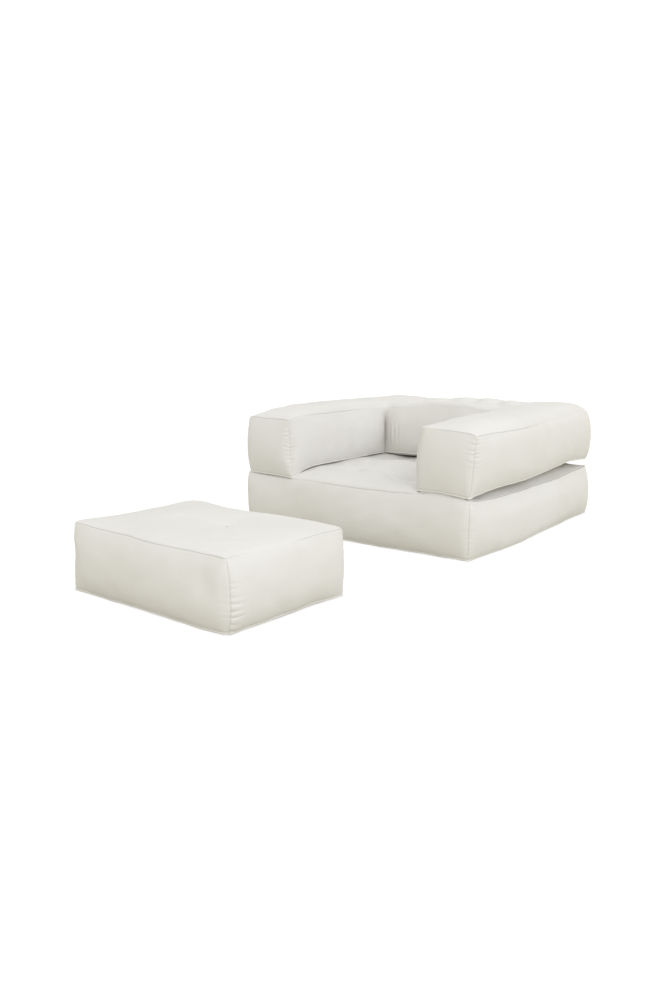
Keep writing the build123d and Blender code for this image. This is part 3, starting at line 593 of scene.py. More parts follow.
upper.crown_top = blend_points(
    [(-0.40, -0.50, 0.468), (-0.40, -0.42, 0.480), (-0.40, -0.30, 0.490), (-0.40, -0.15, 0.495), (-0.40, 0.0, 0.495), (-0.40, 0.14, 0.492),
     (-0.41, 0.27, 0.488), (-0.41, 0.36, 0.485), (-0.38, 0.46, 0.486),
     (-0.31, 0.175, 0.487), (-0.23, 0.175, 0.478), (-0.15, 0.175, 0.4755), (-0.125, 0.175, 0.482), (-0.057, 0.175, 0.491), (0.01, 0.175, 0.497), (0.108, 0.175, 0.497),
     (0.168, 0.175, 0.489), (0.226, 0.175, 0.478), (0.27, 0.175, 0.480), (0.315, 0.175, 0.486),
     (-0.12, 0.245, 0.462), (-0.04, 0.245, 0.464), (0.04, 0.245, 0.465), (0.12, 0.245, 0.463),
     (-0.30, 0.33, 0.478), (-0.14, 0.33, 0.460), (-0.05, 0.33, 0.457), (0.05, 0.33, 0.457), (0.14, 0.33, 0.460), (0.31, 0.33, 0.478),
     (-0.10, 0.410, 0.462), (0.0, 0.410, 0.463), (0.10, 0.410, 0.462),
     (-0.32, 0.455, 0.485), (-0.24, 0.455, 0.484), (-0.18, 0.460, 0.484), (-0.07, 0.480, 0.494), (0.06, 0.480, 0.495), (0.18, 0.470, 0.489),
     (0.24, 0.455, 0.483), (0.33, 0.455, 0.488),
     (0.41, -0.50, 0.462), (0.41, -0.42, 0.468), (0.41, -0.30, 0.472), (0.41, -0.15, 0.475), (0.41, 0.0, 0.477), (0.41, 0.12, 0.482),
     (0.40, 0.24, 0.490), (0.41, 0.34, 0.491), (0.40, 0.45, 0.489)],
    0.042)
upper.crown_bot = lambda x, y: np.full(len(x), 0.2365)
TUFT_UPPER = [(-0.235, 0.334), (0.235, 0.334)]
upper.tufts_top = [
    (-0.235, 0.334, 0.036, 0.055, folds((20, 1.0), (100, 0.8), (165, 0.8), (230, 0.7), (300, 1.0), amp=0.0045, length=0.09)),
    (0.235, 0.334, 0.036, 0.055, folds((160, 1.0), (80, 0.8), (10, 0.7), (310, 0.7), (240, 1.0), amp=0.0045, length=0.09)),
]
upper.valleys = [
    (-0.235, 0.334, 0.235, 0.334, 0.0060, 0.034), (-0.235, 0.334, -0.15, 0.165, 0.0110, 0.013), (0.235, 0.334, 0.225, 0.165, 0.0090, 0.018),
    (0.235, 0.334, 0.365, 0.14, 0.0060, 0.016), (-0.235, 0.334, -0.36, 0.15, 0.0045, 0.016), (-0.235, 0.334, -0.19, 0.50, 0.0015, 0.016),
    (0.235, 0.334, 0.20, 0.50, 0.0020, 0.016), (-0.235, 0.334, -0.42, 0.42, 0.0035, 0.016), (0.235, 0.334, 0.43, 0.45, 0.0035, 0.018),
]
upper.tufts_bot = [(x, y, 0.008, 0.03, folds((20, 0.5), (140, 0.5), (260, 0.5), amp=0.0015)) for x, y in TUFT_UPPER]


def back_wrinkles(s, u, z):
    """Short upright gathers on the back's front panel, beside the inside corners."""
    if s != 2:
        return np.zeros(len(u))
    out = np.zeros(len(u))
    for u0, z0, half, amp, w in ((0.034, 0.11, 0.045, 0.0034, 0.0036), (0.050, 0.105, 0.050, -0.0034, 0.0036), (0.061, 0.095, 0.045, 0.0040, 0.0034),
                                 (0.072, 0.115, 0.045, -0.0030, 0.0036), (0.083, 0.10, 0.040, 0.0030, 0.004), (0.105, 0.10, 0.040, 0.0014, 0.007),
                                 (0.535, 0.11, 0.05, 0.0034, 0.0033), (0.520, 0.10, 0.04, -0.0032, 0.0036), (0.505, 0.10, 0.04, 0.0026, 0.004)):
        out -= amp * np.exp(-((u - u0 - 0.04 * (z - z0)) / w) ** 2) * np.exp(-(((z - z0) / half) ** 4))
    return out


upper.extra_side = back_wrinkles

# pouf: 0.667 x 0.470 x 0.218 m, in its own coordinates about its centre
PX, PY, PH = 0.3335, 0.235, 0.218
POUF_AT = Matrix.Translation((0.0525, -1.3425, 0)) @ Matrix.Rotation(math.radians(-3.35), 4, "Z")
low_half = curve((0, 1.0), (0.45, 1.0), (0.62, 0.55), (0.75, 0.15), (1, 0.1))
pouf = Form(
    6, 0.0, PH,
    [
        Corner(-PX, -PY, top=(0.004, 0.002), bot=(-0.005, -0.007), pucker=(0.3, 0.25), r_end=0.016, bulge=0.010, drop=0.006),
        Corner(PX, -PY, top=(-0.002, 0.0), bot=(0.006, -0.004), pucker=(lambda v: 0.22 * low_half(v), lambda v: 1.25 * low_half(v)), r=0.030, r_end=0.012,
               r_foot=0.024, bulge=0.018, lean=(0.011, 0.003)),
        Corner(PX, PY, top=(-0.004, 0), bot=(-0.001, 0), pucker=(0.4, 0.4), r_end=0.014, bulge=0.006, drop=0.005),
        Corner(-PX, PY, pucker=(0.4, 0.4), bulge=0.016),
    ],
    [
        Side(curve((0, 0.213), (0.17, 0.207), (0.31, 0.205), (0.44, 0.208), (0.56, 0.208), (0.667, 0.206)),
             curve((0, 0.002), (0.18, 0.002), (0.33, 0.003), (0.5, 0.002), (0.60, 0.000), (0.667, 0.002)), bulge=0.026, bow_bot=0.003, roll=1.0, reach=0.028),
        Side(curve((0, 0.206), (0.065, 0.206), (0.135, 0.205), (0.295, 0.207), (0.365, 0.209), (0.47, 0.211)),
             curve((0, 0.001), (0.05, 0.004), (0.12, 0.006), (0.3, 0.008), (0.47, 0.004)), bulge=0.026,
             seam_top=curve((0, 0.6), (0.04, 0.08), (0.24, 0.08), (0.30, 0.8), (0.47, 1.0)),
             roll=curve((0, 0.5), (0.06, 1.3), (0.24, 1.2), (0.34, 0.5), (0.47, 0.4)), reach=0.024),
        Side(curve((0, 0.210), (0.12, 0.213), (0.3, 0.208), (0.45, 0.206), (0.58, 0.212), (0.667, 0.210)), flat(0.004), bulge=0.026),
        Side(curve((0, 0.210), (0.25, 0.207), (0.47, 0.213)), flat(0.004), bulge=0.026),
    ],
    gather=1.3,
)


def pouf_dent(s, u, z):
    """The front panel sinks a little beside the near corner."""
    if s != 0:
        return np.zeros(len(u))
    return (-0.0075 * np.exp(-((u - 0.595) / 0.035) ** 2) * np.exp(-((z - 0.150) / 0.045) ** 2)
            - 0.0040 * np.exp(-((u - 0.020) / 0.030) ** 2) * np.exp(-((z - 0.120) / 0.060) ** 2))


pouf.extra_side = pouf_dent
pouf.shoulder_top = [(0.6, 0.045, 2.0), (0.4, 0.20, 1.9)]
pouf.crown_top = blend_points(
    [(-0.28, -0.18, 0.218), (-0.28, 0.0, 0.221), (-0.28, 0.18, 0.220), (-0.1, -0.18, 0.219), (-0.08, 0.0, 0.224), (-0.1, 0.18, 0.222),
     (0.08, -0.16, 0.221), (0.06, 0.18, 0.222), (0.2, -0.15, 0.221), (0.2, 0.0, 0.225), (0.2, 0.17, 0.221), (0.28, -0.17, 0.218),
     (0.29, 0.0, 0.220), (0.28, 0.18, 0.219)], 0.085)
pouf.crown_bot = lambda x, y: np.zeros(len(x))
pouf.tufts_top = [(0.058, 0.028, 0.013, 0.052, folds((30, 0.3), (100, 0.3), (205, 1.0), (300, 0.6), amp=0.0015, length=0.07))]
pouf.valleys = [(0.06, 0.03, -0.12, -0.03, 0.0020, 0.018), (0.06, 0.02, 0.20, -0.12, 0.0016, 0.022), (0.13, -0.17, 0.25, -0.10, 0.0026, 0.010),
                (0.16, -0.13, 0.27, -0.07, 0.0022, 0.012), (0.19, -0.19, 0.28, -0.15, 0.0018, 0.008)]
pouf.tufts_bot = [(0.06, 0.02, 0.008, 0.03, folds((20, 0.5), (140, 0.5), (260, 0.5), amp=0.0015))]


# ------------------------------------------------------------------ materials
def canvas(name, base=(0.746, 0.739, 0.713), weave=0.0011, seam_and_shade_colour=(0.30, 0.285, 0.25)):
    """Plain-woven cotton canvas: warp and weft as fine ridges, slubs, soft changes of tone, darker along the sewn
    seams: the stitch lines, with painted shade in the seam grooves and pucker valleys.
    """
    m = bpy.data.materials.new(name)
    m.use_nodes = True
    nt = m.node_tree
    nt.nodes.clear()
    N, L = nt.nodes.new, nt.links.new
    out = N("ShaderNodeOutputMaterial")
    b = N("ShaderNodeBsdfPrincipled")
    L(b.outputs["BSDF"], out.inputs["Surface"])
    b.inputs["Roughness"].default_value = 0.92
    b.inputs["Specular IOR Level"].default_value = 0.25
    b.inputs["Sheen Weight"].default_value = 0.12
    b.inputs["Sheen Roughness"].default_value = 0.5
    b.inputs["Sheen Tint"].default_value = (1.0, 0.98, 0.94, 1)
    tc = N("ShaderNodeTexCoord")
    sep = N("ShaderNodeSeparateXYZ")
    L(tc.outputs["Object"], sep.inputs[0])
    nrm = N("ShaderNodeSeparateXYZ")
    L(tc.outputs["Normal"], nrm.inputs[0])

    def math_node(op, a, c=None):
        k = N("ShaderNodeMath")
        k.operation = op
        for i, v in enumerate((a, c)):
            if v is None:
                continue
            if isinstance(v, (int, float)):
                k.inputs[i].default_value = v
            else:
                L(v, k.inputs[i])
        return k.outputs[0]

    # threads wander a little, so the rows are not perfectly straight
    wander = N("ShaderNodeTexNoise")
    wander.inputs["Scale"].default_value = 22.0
    wander.inputs["Detail"].default_value = 2.0
    L(tc.outputs["Object"], wander.inputs["Vector"])
    shift = math_node("MULTIPLY", math_node("SUBTRACT", wander.outputs["Fac"], 0.5), 0.0016)
    rows = None
    for i in range(3):
        k = math_node("MULTIPLY", math_node("ADD", sep.outputs[i], shift), 2 * math.pi / weave)
        wave = math_node("SINE", k)
        facing = math_node("SUBTRACT", 1.0, math_node("POWER", math_node("ABSOLUTE", nrm.outputs[i]), 2.0))
        term = math_node("MULTIPLY", wave, facing)
        rows = term if rows is None else math_node("ADD", rows, term)
    slub = N("ShaderNodeTexNoise")
    slub.inputs["Scale"].default_value = 260.0
    slub.inputs["Detail"].default_value = 3.0
    stretch = N("ShaderNodeMapping")
    stretch.inputs["Scale"].default_value = (0.35, 1.0, 0.8)
    L(tc.outputs["Object"], stretch.inputs["Vector"])
    L(stretch.outputs["Vector"], slub.inputs["Vector"])
    crumple = N("ShaderNodeTexNoise")
    crumple.inputs["Scale"].default_value = 34.0
    crumple.inputs["Detail"].default_value = 5.0
    crumple.inputs["Roughness"].default_value = 0.55
    L(tc.outputs["Object"], crumple.inputs["Vector"])
    height = math_node("ADD", math_node("MULTIPLY", rows, 0.10), math_node("MULTIPLY", slub.outputs["Fac"], 0.35))
    bump = N("ShaderNodeBump")
    bump.inputs["Strength"].default_value = 0.35
    bump.inputs["Distance"].default_value = 0.0006
    L(height, bump.inputs["Height"])
    bump2 = N("ShaderNodeBump")
    bump2.inputs["Strength"].default_value = 0.25
    bump2.inputs["Distance"].default_value = 0.0022
    L(crumple.outputs["Fac"], bump2.inputs["Height"])
    L(bump2.outputs["Normal"], bump.inputs["Normal"])
    L(bump.outputs["Normal"], b.inputs["Normal"])
    tone = N("ShaderNodeTexNoise")
    tone.inputs["Scale"].default_value = 3.2
    tone.inputs["Detail"].default_value = 4.0
    L(tc.outputs["Object"], tone.inputs["Vector"])
    ramp = N("ShaderNodeValToRGB")
    ramp.color_ramp.elements[0].position = 0.35
    ramp.color_ramp.elements[1].position = 0.68
    ramp.color_ramp.elements[0].color = (base[0] * 0.975, base[1] * 0.97, base[2] * 0.955, 1)
    ramp.color_ramp.elements[1].color = (base[0] * 1.015, base[1] * 1.015, base[2] * 1.02, 1)
    L(tone.outputs["Fac"], ramp.inputs["Fac"])
    thread = N("ShaderNodeMix")
    thread.data_type = "RGBA"
    thread.blend_type = "MULTIPLY"
    thread.inputs["Factor"].default_value = 0.06
    grain = N("ShaderNodeValToRGB")
    grain.color_ramp.elements[0].position = 0.30
    grain.color_ramp.elements[1].position = 0.62
    grain.color_ramp.elements[0].color = (0.72, 0.69, 0.62, 1)
    grain.color_ramp.elements[1].color = (1, 1, 1, 1)
    L(slub.outputs["Fac"], grain.inputs["Fac"])
    L(ramp.outputs["Color"], thread.inputs["A"])
    L(grain.outputs["Color"], thread.inputs["B"])
    # the seam attribute mixes towards the dark seam colour: stitch lines, with painted shade in the seam grooves and
    # pucker valleys
    seam = N("ShaderNodeAttribute")
    seam.attribute_name = "seam"
    mix = N("ShaderNodeMix")
    mix.data_type = "RGBA"
    along = math_node("ADD", math_node("ADD", sep.outputs[0], sep.outputs[1]), sep.outputs[2])
    stitch = math_node("ADD", 0.50, math_node("MULTIPLY", math_node("SINE", math_node("MULTIPLY", along, 2 * math.pi / 0.0036)), 0.16))
    L(math_node("MULTIPLY", seam.outputs["Fac"], stitch), mix.inputs["Factor"])
    L(thread.outputs["Result"], mix.inputs["A"])
    mix.inputs["B"].default_value = (*seam_and_shade_colour, 1)
    L(mix.outputs["Result"], b.inputs["Base Color"])
    return m


mat_cover = canvas("cover_canvas")

# ------------------------------------------------------------------ covers
FINE, COARSE, REACH = 0.0017, 0.0090, 0.060


def at_grid(G, fu, fv):
    """A grid of vectors, read smoothly at fractional rows and columns."""
    nu, nv = G.shape[:2]

    def part(f, n):
        i = np.clip(np.floor(f).astype(int), 0, n - 2)
        t = f - i
        w = ((-t + 2 * t**2 - t**3) / 2, (2 - 5 * t**2 + 3 * t**3) / 2, (t + 4 * t**2 - 3 * t**3) / 2, (t**3 - t**2) / 2)
        return [(np.clip(i + k - 1, 0, n - 1), w[k]) for k in range(4)]
    out = np.zeros((len(fu), G.shape[2]))
    rows, cols = part(fu, nu), part(fv, nv)
    for i, wi in rows:
        for j, wj in cols:
            out += G[i, j] * (wi * wj)[:, None]
    return out


def blur(G, cells):
    """A grid of vectors, smoothed over that many cells each way."""
    for axis in (0, 1):
        for _ in range(3):
            n = G.shape[axis]
            k = min(cells, n - 1)
            c = np.cumsum(np.concatenate([np.zeros_like(G.take([0], axis)), G], axis), axis)
            lo, hi = np.clip(np.arange(n) - k // 2, 0, n), np.clip(np.arange(n) + k // 2 + 1, 0, n)
            shape = [1, 1, 1]
            shape[axis] = n
            G = (c.take(hi, axis) - c.take(lo, axis)) / (hi - lo).reshape(shape)
    return G


def let_swell(form, name, xb, yb, zb, step, cap, hold, share=0.5):
    """Cloth under pressure: a coarse copy of the cover, cut a little larger than its filling and held at its seams, tufts and
    underside, swells and wrinkles. Gives each panel's grid of how far it moved beyond the panel's even swelling."""
    def even(breaks, size):
        out = [breaks[0]]
        for p, q in zip(breaks, breaks[1:]):
            out += list(np.linspace(p, q, max(2, int(round((q - p) / size))) + 1)[1:])
        return np.array(out)
    xs, ys, zs = even(xb, step), even(yb, step), even(zb, step)
    P, B, _, F = form.shell(xs, ys, zs)
    g = form.last
    P = form.wobble(P, B)
    ob = mesh_object(name + "_swelling", P, F)
    fixed = np.zeros(len(P), bool)
    fixed[g["col"][:, [0, -1]].ravel()] = True
    fixed[g["col"][g["u_of"] < 1e-6].ravel()] = True
    fixed[g["bi"][g["bi"] >= 0]] = True
    top = g["ti"][g["ti"] >= 0]
    for tx, ty, *_ in form.tufts_top:
        fixed[top[np.hypot(B[top, 0] - tx, B[top, 1] - ty) < 0.016]] = True
    group = ob.vertex_groups.new(name="pin")
    group.add([int(i) for i in np.nonzero(fixed)[0]], 1.0, "REPLACE")
    group.add([int(i) for i in np.nonzero(~fixed)[0]], hold, "REPLACE")
    mod = ob.modifiers.new("cloth", "CLOTH")
    c = mod.settings
    c.quality = 5
    c.mass = 0.3
    c.tension_stiffness = c.compression_stiffness = 18
    c.shear_stiffness = 6
    c.bending_stiffness = 2.0
    c.air_damping = 4
    c.vertex_group_mass = "pin"
    c.pin_stiffness = 1.0
    c.use_pressure = True
    c.uniform_pressure_force = 4.0
    c.shrink_min = c.shrink_max = -0.018
    c.effector_weights.gravity = 0
    mod.collision_settings.use_collision = False
    mod.collision_settings.use_self_collision = False
    for f in range(1, 21):
        scene.frame_set(f)
    ev = ob.evaluated_get(bpy.context.evaluated_depsgraph_get())
    q = np.empty(len(P) * 3, np.float32)
    ev.data.vertices.foreach_get("co", q)
    D = q.reshape(-1, 3).astype(float) - P
    scene.frame_set(1)
    me = ob.data
    bpy.data.objects.remove(ob)
    bpy.data.meshes.remove(me)

    def tidy(G):
        G = share * (blur(G, 2) - 0.8 * blur(G, int(0.13 / step)))
        size = np.linalg.norm(G, axis=2, keepdims=True)
        return G * (cap * np.tanh(size / cap) / np.maximum(size, 1e-9))
    T = np.zeros((*g["ti"].shape, 3))
    on = g["ti"] >= 0
    T[on] = D[g["ti"][on]]
    X, Y = np.meshgrid(xs, ys, indexing="ij")
    free = on * smooth(form.near_sides(X.ravel(), Y.ravel())[0].min(0).reshape(X.shape) / 0.030)
    for tx, ty, *_ in form.tufts_top:      # sewn down at the seams and the tufts
        free = free * smooth((np.hypot(X - tx, Y - ty) - 0.004) / 0.030)
    T = tidy(T) * free[:, :, None]
    sides = []
    nl = len(g["u_of"])
    for s in range(form.n):
        m = np.nonzero(g["side_of"] == s)[0]
        rows = np.concatenate([m, [(m[-1] + 1) % nl]])
        G = D[g["col"][rows]]
        G = tidy(G)
        G[[0, -1]] = 0
        G[:, [0, -1]] = 0
        sides.append((np.concatenate([g["u_of"][m], [form.len[s]]]), G))
    print(name, "cloth moved up to", round(float(np.linalg.norm(D, axis=1).max()), 4), "kept", round(float(np.abs(T).max()), 4))
    return xs, ys, zs, T, sides


def swollen(form, P, push):
    """The fine cover's points, moved as the coarse cloth moved."""
    cx, cy, cz, T, sides = push
    g = form.last
    at = lambda v, grid: np.interp(v, grid, np.arange(len(grid)))
    gx, gy = np.nonzero(g["ti"] >= 0)
    idx = g["ti"][gx, gy]
    P[idx] += at_grid(T, at(g["xs"][gx], cx), at(g["ys"][gy], cy))
    inner = g["col"][:, 1:-1]
    for s in range(form.n):
        us, G = sides[s]
        m = np.nonzero(g["side_of"] == s)[0]
        u = np.repeat(g["u_of"][m], inner.shape[1])
        z = np.tile(g["zs"][1:-1], len(m))
        P[inner[m].ravel()] += at_grid(G, at(u, us), at(z, cz))
    return P


def build(form, name, xb, yb, zb, step=0.013, cap=0.004, hold=0.02, coarse=COARSE, spans=()):
    push = let_swell(form, name, xb, yb, zb, step, cap, hold)
    xs, ys = lines(xb, FINE, coarse, REACH, spans), lines(yb, FINE, coarse, REACH)
    zs = lines(zb, 0.0016, 0.0031, 0.020)
    P, B, M, F = form.shell(xs, ys, zs)
    P = form.wobble(P, B)
    if push:
        P = swollen(form, P, push)
    if form.z0 == 0:
        P[:, 2] = np.maximum(P[:, 2], 0.0)
    else:      # the crown levels off
        z = P[:, 2]
        P[:, 2] = np.where(z > 0.479, 0.479 + 0.0125 * np.tanh((z - 0.479) / 0.0125), z)
    over = np.abs(P[:, 0]) - 0.528
    P[:, 0] = np.where(over > 0, np.sign(P[:, 0]) * (0.528 + 0.0115 * np.tanh(over / 0.0115)), P[:, 0])
    ob = mesh_object(name, P, F, M)
    print(name, len(F), "faces")
    ob.data.materials.append(mat_cover)
    return ob


seat_ob = build(seat, "seat_cover", [-SX, SX], [SY0, SY1], [0, SH])
upper_ob = build(upper, "upper_cover", [-SX, -GX, GX, SX], [SY0, GY, SY1], [0, UH], coarse=0.0105, spans=[(-0.262, -0.190)])
pouf_ob = build(pouf, "pouf_cover", [-PX, PX], [-PY, PY], [0, PH], step=0.011)
pouf_ob.matrix_world = POUF_AT

nodes = frame["record"]["behaviour"]["bodies"]
for ob, body in ((seat_ob, "seat"), (upper_ob, "upper"), (pouf_ob, "pouf")):
    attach(ob, body)
    if body != "pouf":      # unfolded, the two modules press their front faces flat against each other
        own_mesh(ob)
    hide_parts(*[n for n in nodes[body] if "hinge" not in n and "_tie" not in n])


# ------------------------------------------------------------------ fabric hinge
def sheet(name, paths, thick):
    """A closed cloth sheet from rows of points: paths[i, j] is point j across of row i along."""
    n, m = paths.shape[:2]
    du, dv = np.gradient(paths, axis=0), np.gradient(paths, axis=1)
    nn = np.cross(du, dv)
    nn /= np.maximum(np.linalg.norm(nn, axis=2, keepdims=True), 1e-12)
    a, b = paths + nn * thick / 2, paths - nn * thick / 2
    P = np.vstack([a.reshape(-1, 3), b.reshape(-1, 3)])
    idx = np.arange(n * m).reshape(n, m)
    q = lambda g: np.stack([g[:-1, :-1], g[1:, :-1], g[1:, 1:], g[:-1, 1:]], -1).reshape(-1, 4)
    faces = [q(idx), q(idx + n * m)[:, ::-1]]
    ring = np.concatenate([idx[:-1, 0], idx[-1, :-1], idx[:0:-1, -1], idx[0, :0:-1]])
    nxt = np.roll(ring, -1)
    faces.append(np.stack([nxt, ring, ring + n * m, nxt + n * m], -1))
    return mesh_object(name, P, np.vstack(faces))


mat_hinge = canvas("hinge_canvas", base=(0.738, 0.731, 0.704))
HINGE_T, LEAF = 0.0012, 0.060
for side, xa, xb in (("left", -0.482, -0.304), ("right", 0.304, 0.482)):
    px, py = np.linspace(xa, xb, 61), SY0 + np.concatenate([np.linspace(0.004, 0.012, 6), np.linspace(0.014, LEAF, 18)])
    gx, gy = np.meshgrid(px, py, indexing="ij")
    low, _ = seat.face_points(gx.ravel(), gy.ravel(), True)
    high, _ = upper.face_points(gx.ravel(), gy.ravel(), False)
    low, high = low.reshape(*gx.shape, 3), high.reshape(*gx.shape, 3)
    low[:, :, 2] += 0.0012
    high[:, :, 2] -= 0.0012
    high[:, :, :2] = low[:, :, :2] = (low[:, :, :2] + high[:, :, :2]) / 2
    mid, gap = (low[:, :, 2] + high[:, :, 2]) / 2, np.maximum(high[:, :, 2] - low[:, :, 2], 0.0026)
    low[:, :, 2], high[:, :, 2] = mid - gap / 2, mid + gap / 2
    r = gap[:, 0] / 2
    th = np.linspace(-math.pi / 2, math.pi / 2, 15)
    fold = np.stack([np.repeat(low[:, :1, 0], 15, 1), low[:, :1, 1] - (r[:, None] * 0.9 + 0.0012 * (side == "right")) * np.cos(th), mid[:, :1] + r[:, None] * np.sin(th)], -1)
    print(side, "hinge gap", gap.min(), gap.max(), "front", gap[:, 0].min(), gap[:, 0].max(), "z", low[:, 0, 2].min(), high[:, 0, 2].max())
    seat_leaf = sheet(side + "_hinge_seat_leaf_cloth", low[:, ::-1], HINGE_T)
    arm_leaf = sheet(side + "_hinge_arm_leaf_cloth", np.concatenate([fold[:, 1:-1], high], axis=1), HINGE_T)
    for ob in (seat_leaf, arm_leaf):
        ob.data.materials.append(mat_hinge)
    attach(seat_leaf, "seat")
    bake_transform(arm_leaf)
    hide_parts(side + "_hinge_seat_leaf")
    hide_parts(side + "_hinge_arm_leaf")


# ------------------------------------------------------------------ tuft ties
def twine_material():
    m = bpy.data.materials.new("tuft_twine")
    m.use_nodes = True
    nt = m.node_tree
    b = next(n for n in nt.nodes if n.bl_idname == "ShaderNodeBsdfPrincipled")
    b.inputs["Roughness"].default_value = 0.85
    tc, tw, mp, ramp = (nt.nodes.new(k) for k in ("ShaderNodeTexCoord", "ShaderNodeTexWave", "ShaderNodeMapping", "ShaderNodeValToRGB"))
    mp.inputs["Rotation"].default_value = (0.5, 0.6, 0.3)
    tw.inputs["Scale"].default_value = 420.0
    tw.inputs["Distortion"].default_value = 2.0
    ramp.color_ramp.elements[0].color = (0.62, 0.60, 0.54, 1)
    ramp.color_ramp.elements[1].color = (0.78, 0.76, 0.71, 1)
    bump = nt.nodes.new("ShaderNodeBump")
    bump.inputs["Strength"].default_value = 0.5
    bump.inputs["Distance"].default_value = 0.0003
    L = nt.links.new
    L(tc.outputs["Object"], mp.inputs["Vector"])
    L(mp.outputs["Vector"], tw.inputs["Vector"])
    L(tw.outputs["Fac"], ramp.inputs["Fac"])
    L(ramp.outputs["Color"], b.inputs["Base Color"])
    L(tw.outputs["Fac"], bump.inputs["Height"])
    L(bump.outputs["Normal"], b.inputs["Normal"])
    return m


def tube(path, radius, sides=8, closed=False):
    """A round tube along points, as (points, faces)."""
    p = np.asarray(path, float)
    t = np.roll(p, -1, 0) - np.roll(p, 1, 0) if closed else np.gradient(p, axis=0)
    t /= np.linalg.norm(t, axis=1)[:, None]
    u = np.cross(t[0], (0.3, 0.9, 0.1))
    rings = []
    for c, d in zip(p, t):
        u = u - d * (u @ d)
        u /= np.linalg.norm(u)
        w = np.cross(d, u)
        a = np.arange(sides) * 2 * math.pi / sides
        rings.append(c + radius * (np.cos(a)[:, None] * u + np.sin(a)[:, None] * w))
    n = len(p)
    ids = np.arange(n * sides).reshape(n, sides)
    rows = ids if closed else ids[:-1]
    nxt = np.roll(ids, -1, 0) if closed else ids[1:]
    return np.vstack(rings), np.stack([rows, np.roll(rows, -1, 1), np.roll(nxt, -1, 1), nxt], -1).reshape(-1, 4)


def tie(form, top, bot):
    """One tuft's twine: up through the module, with a trefoil knot at each end."""
    ends = []
    for (x, y), is_top in ((top, True), (bot, False)):
        p, _ = form.face_points(np.array([x]), np.array([y]), is_top)
        p = form.wobble(p, np.array([[x, y, form.z0 + (form.h if is_top else 0.0)]]))[0]
        if form.z0 and is_top and p[2] > 0.479:
            p[2] = 0.479 + 0.0125 * math.tanh((p[2] - 0.479) / 0.0125)
        ends.append(p)
    parts = []
    t = np.linspace(0, 2 * math.pi, 60, endpoint=False)
    for p, sign in zip(ends, (1, -1)):
        knot = np.column_stack([np.sin(t) + 2 * np.sin(2 * t), np.cos(t) - 2 * np.cos(2 * t), -1.3 * np.sin(3 * t)]) * 0.0011
        parts.append(tube(knot + p + (0, 0, sign * 0.0012), 0.0009, 8, True))
    run = np.linspace(0, 1, 24)[:, None]
    sway = np.column_stack([np.sin(run[:, 0] * 7) * 0.0012, np.cos(run[:, 0] * 5) * 0.0010, 0 * run[:, 0]]) * np.sin(run * math.pi)
    parts.append(tube(ends[1] + (ends[0] - ends[1]) * run + sway, 0.0010))
    return parts


mat_twine = twine_material()
for form, body, node in ((seat, "seat", "seat_tuft_ties"), (upper, "upper", "upper_tuft_ties"), (pouf, "pouf", "pouf_tuft_tie")):
    Ps, Fs, n = [], [], 0
    for top, bot in zip(form.tufts_top, form.tufts_bot):
        for P, F in tie(form, top[:2], bot[:2]):
            Ps.append(P)
            Fs.append(F + n)
            n += len(P)
    ob = mesh_object(node + "_twine", np.vstack(Ps), np.vstack(Fs))
    if body == "pouf":
        ob.matrix_world = POUF_AT
    ob.data.materials.append(mat_twine)
    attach(ob, body)
    if body != "pouf":
        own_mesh(ob)
    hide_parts(node)

# ------------------------------------------------------------------ floor and light
SKY, SKY_TOP, KEY, OVERHEAD, FILL, SIDE = 0.70, 1.428, 48.0, 1.0, 41.0, 103.0
BOUNCE = 0.65     # what the floor gives back to the object
floor_mat = bpy.data.materials.new("floor")
floor_mat.use_nodes = True
ft = floor_mat.node_tree
ft.nodes.clear()
f_out = ft.nodes.new("ShaderNodeOutputMaterial")
f_seen, f_lit, f_glow = ft.nodes.new("ShaderNodeBsdfDiffuse"), ft.nodes.new("ShaderNodeBsdfDiffuse"), ft.nodes.new("ShaderNodeEmission")
f_add, f_mix, f_path = ft.nodes.new("ShaderNodeAddShader"), ft.nodes.new("ShaderNodeMixShader"), ft.nodes.new("ShaderNodeLightPath")
f_seen.inputs["Color"].default_value = (0.34, 0.34, 0.335, 1)
f_glow.inputs["Color"].default_value = (1, 1, 0.997, 1)
f_glow.inputs["Strength"].default_value = 0.80
f_lit.inputs["Color"].default_value = (BOUNCE, BOUNCE * 0.97, BOUNCE * 0.84, 1)
ft.links.new(f_seen.outputs[0], f_add.inputs[0])
ft.links.new(f_glow.outputs[0], f_add.inputs[1])
ft.links.new(f_path.outputs["Is Camera Ray"], f_mix.inputs[0])
ft.links.new(f_lit.outputs[0], f_mix.inputs[1])
ft.links.new(f_add.outputs[0], f_mix.inputs[2])
ft.links.new(f_mix.outputs[0], f_out.inputs["Surface"])
floor = mesh_object("floor", np.array([(-40, -40, -0.0005), (40, -40, -0.0005), (40, 40, -0.0005), (-40, 40, -0.0005)], float), np.array([[0, 1, 2, 3]]))
floor.data.materials.append(floor_mat)

world = bpy.data.worlds.new("studio")
scene.world = world
world.use_nodes = True
wt = world.node_tree
bg = wt.nodes["Background"]
w_co = wt.nodes.new("ShaderNodeTexCoord")
w_sep = wt.nodes.new("ShaderNodeSeparateXYZ")
w_map = wt.nodes.new("ShaderNodeMapRange")
w_map.interpolation_type = "SMOOTHSTEP"
w_map.inputs["From Min"].default_value = 0.38
w_map.inputs["From Max"].default_value = 0.75
w_map.inputs["To Min"].default_value = 1.0
w_map.inputs["To Max"].default_value = SKY_TOP
w_mul = wt.nodes.new("ShaderNodeMath")
w_mul.operation = "MULTIPLY"
w_mul.inputs[1].default_value = SKY
wt.links.new(w_co.outputs["Generated"], w_sep.inputs[0])
wt.links.new(w_sep.outputs["Z"], w_map.inputs["Value"])
wt.links.new(w_map.outputs["Result"], w_mul.inputs[0])
w_tint = wt.nodes.new("ShaderNodeMapRange")
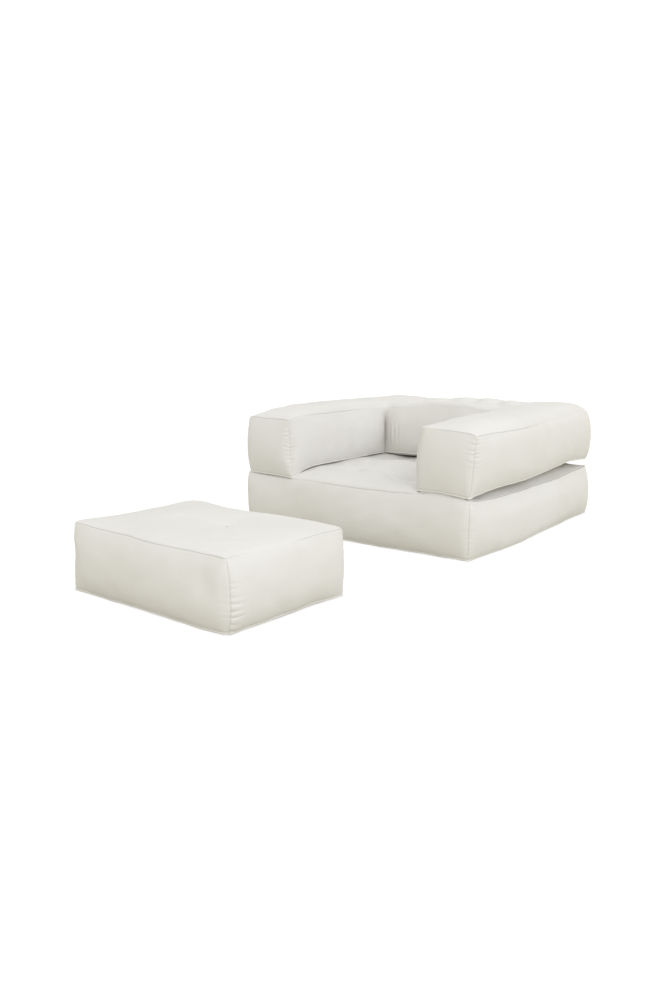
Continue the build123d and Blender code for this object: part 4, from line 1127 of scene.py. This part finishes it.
w_tint.interpolation_type = "SMOOTHSTEP"
w_tint.inputs["From Min"].default_value = 0.05
w_tint.inputs["From Max"].default_value = 0.75
w_col = wt.nodes.new("ShaderNodeMix")
w_col.data_type = "RGBA"
w_col.inputs["A"].default_value = (1.0, 0.972, 0.895, 1)
w_col.inputs["B"].default_value = (1.0, 0.995, 0.985, 1)
wt.links.new(w_sep.outputs["Z"], w_tint.inputs["Value"])
wt.links.new(w_tint.outputs["Result"], w_col.inputs["Factor"])
wt.links.new(w_col.outputs["Result"], bg.inputs["Color"])
wt.links.new(w_mul.outputs[0], bg.inputs["Strength"])
w_back, w_mix, w_path = wt.nodes.new("ShaderNodeBackground"), wt.nodes.new("ShaderNodeMixShader"), wt.nodes.new("ShaderNodeLightPath")
w_back.inputs["Color"].default_value = (1.0, 1.0, 1.0, 1)
w_back.inputs["Strength"].default_value = 1.04
w_out = next(n for n in wt.nodes if n.bl_idname == "ShaderNodeOutputWorld")
wt.links.new(w_path.outputs["Is Camera Ray"], w_mix.inputs[0])
wt.links.new(bg.outputs[0], w_mix.inputs[1])
wt.links.new(w_back.outputs[0], w_mix.inputs[2])
wt.links.new(w_mix.outputs[0], w_out.inputs["Surface"])


def area(name, at, to, size, power, color=(1, 1, 1)):
    d = bpy.data.lights.new(name, "AREA")
    d.shape = "RECTANGLE"
    d.size, d.size_y = size
    d.energy = power
    d.color = color
    o = bpy.data.objects.new(name, d)
    scene.collection.objects.link(o)
    o.location = at
    o.rotation_mode = "QUATERNION"
    o.rotation_quaternion = (Vector(to) - Vector(at)).to_track_quat("-Z", "Y")
    o.visible_camera = False
    return o


area("key", (4.4, 0.9, 3.0), (0.1, -0.5, 0.2), (2.6, 2.6), KEY, (0.975, 0.99, 1.045))
area("overhead", (0.4, -1.3, 5.6), (0.1, -0.6, 0.0), (4.5, 4.5), OVERHEAD)
area("fill", (-0.6, -7.5, 3.0), (0.1, -0.4, 0.2), (4.0, 3.0), FILL, (1.0, 0.985, 0.93))
area("side", (5.2, -4.6, 3.6), (0.1, -0.5, 0.2), (3.2, 3.2), SIDE, (0.97, 0.99, 1.085))
scene.view_settings.view_transform = "Standard"
scene.view_settings.look = "None"
scene.view_settings.exposure = 0.0
scene.view_settings.gamma = 1.0
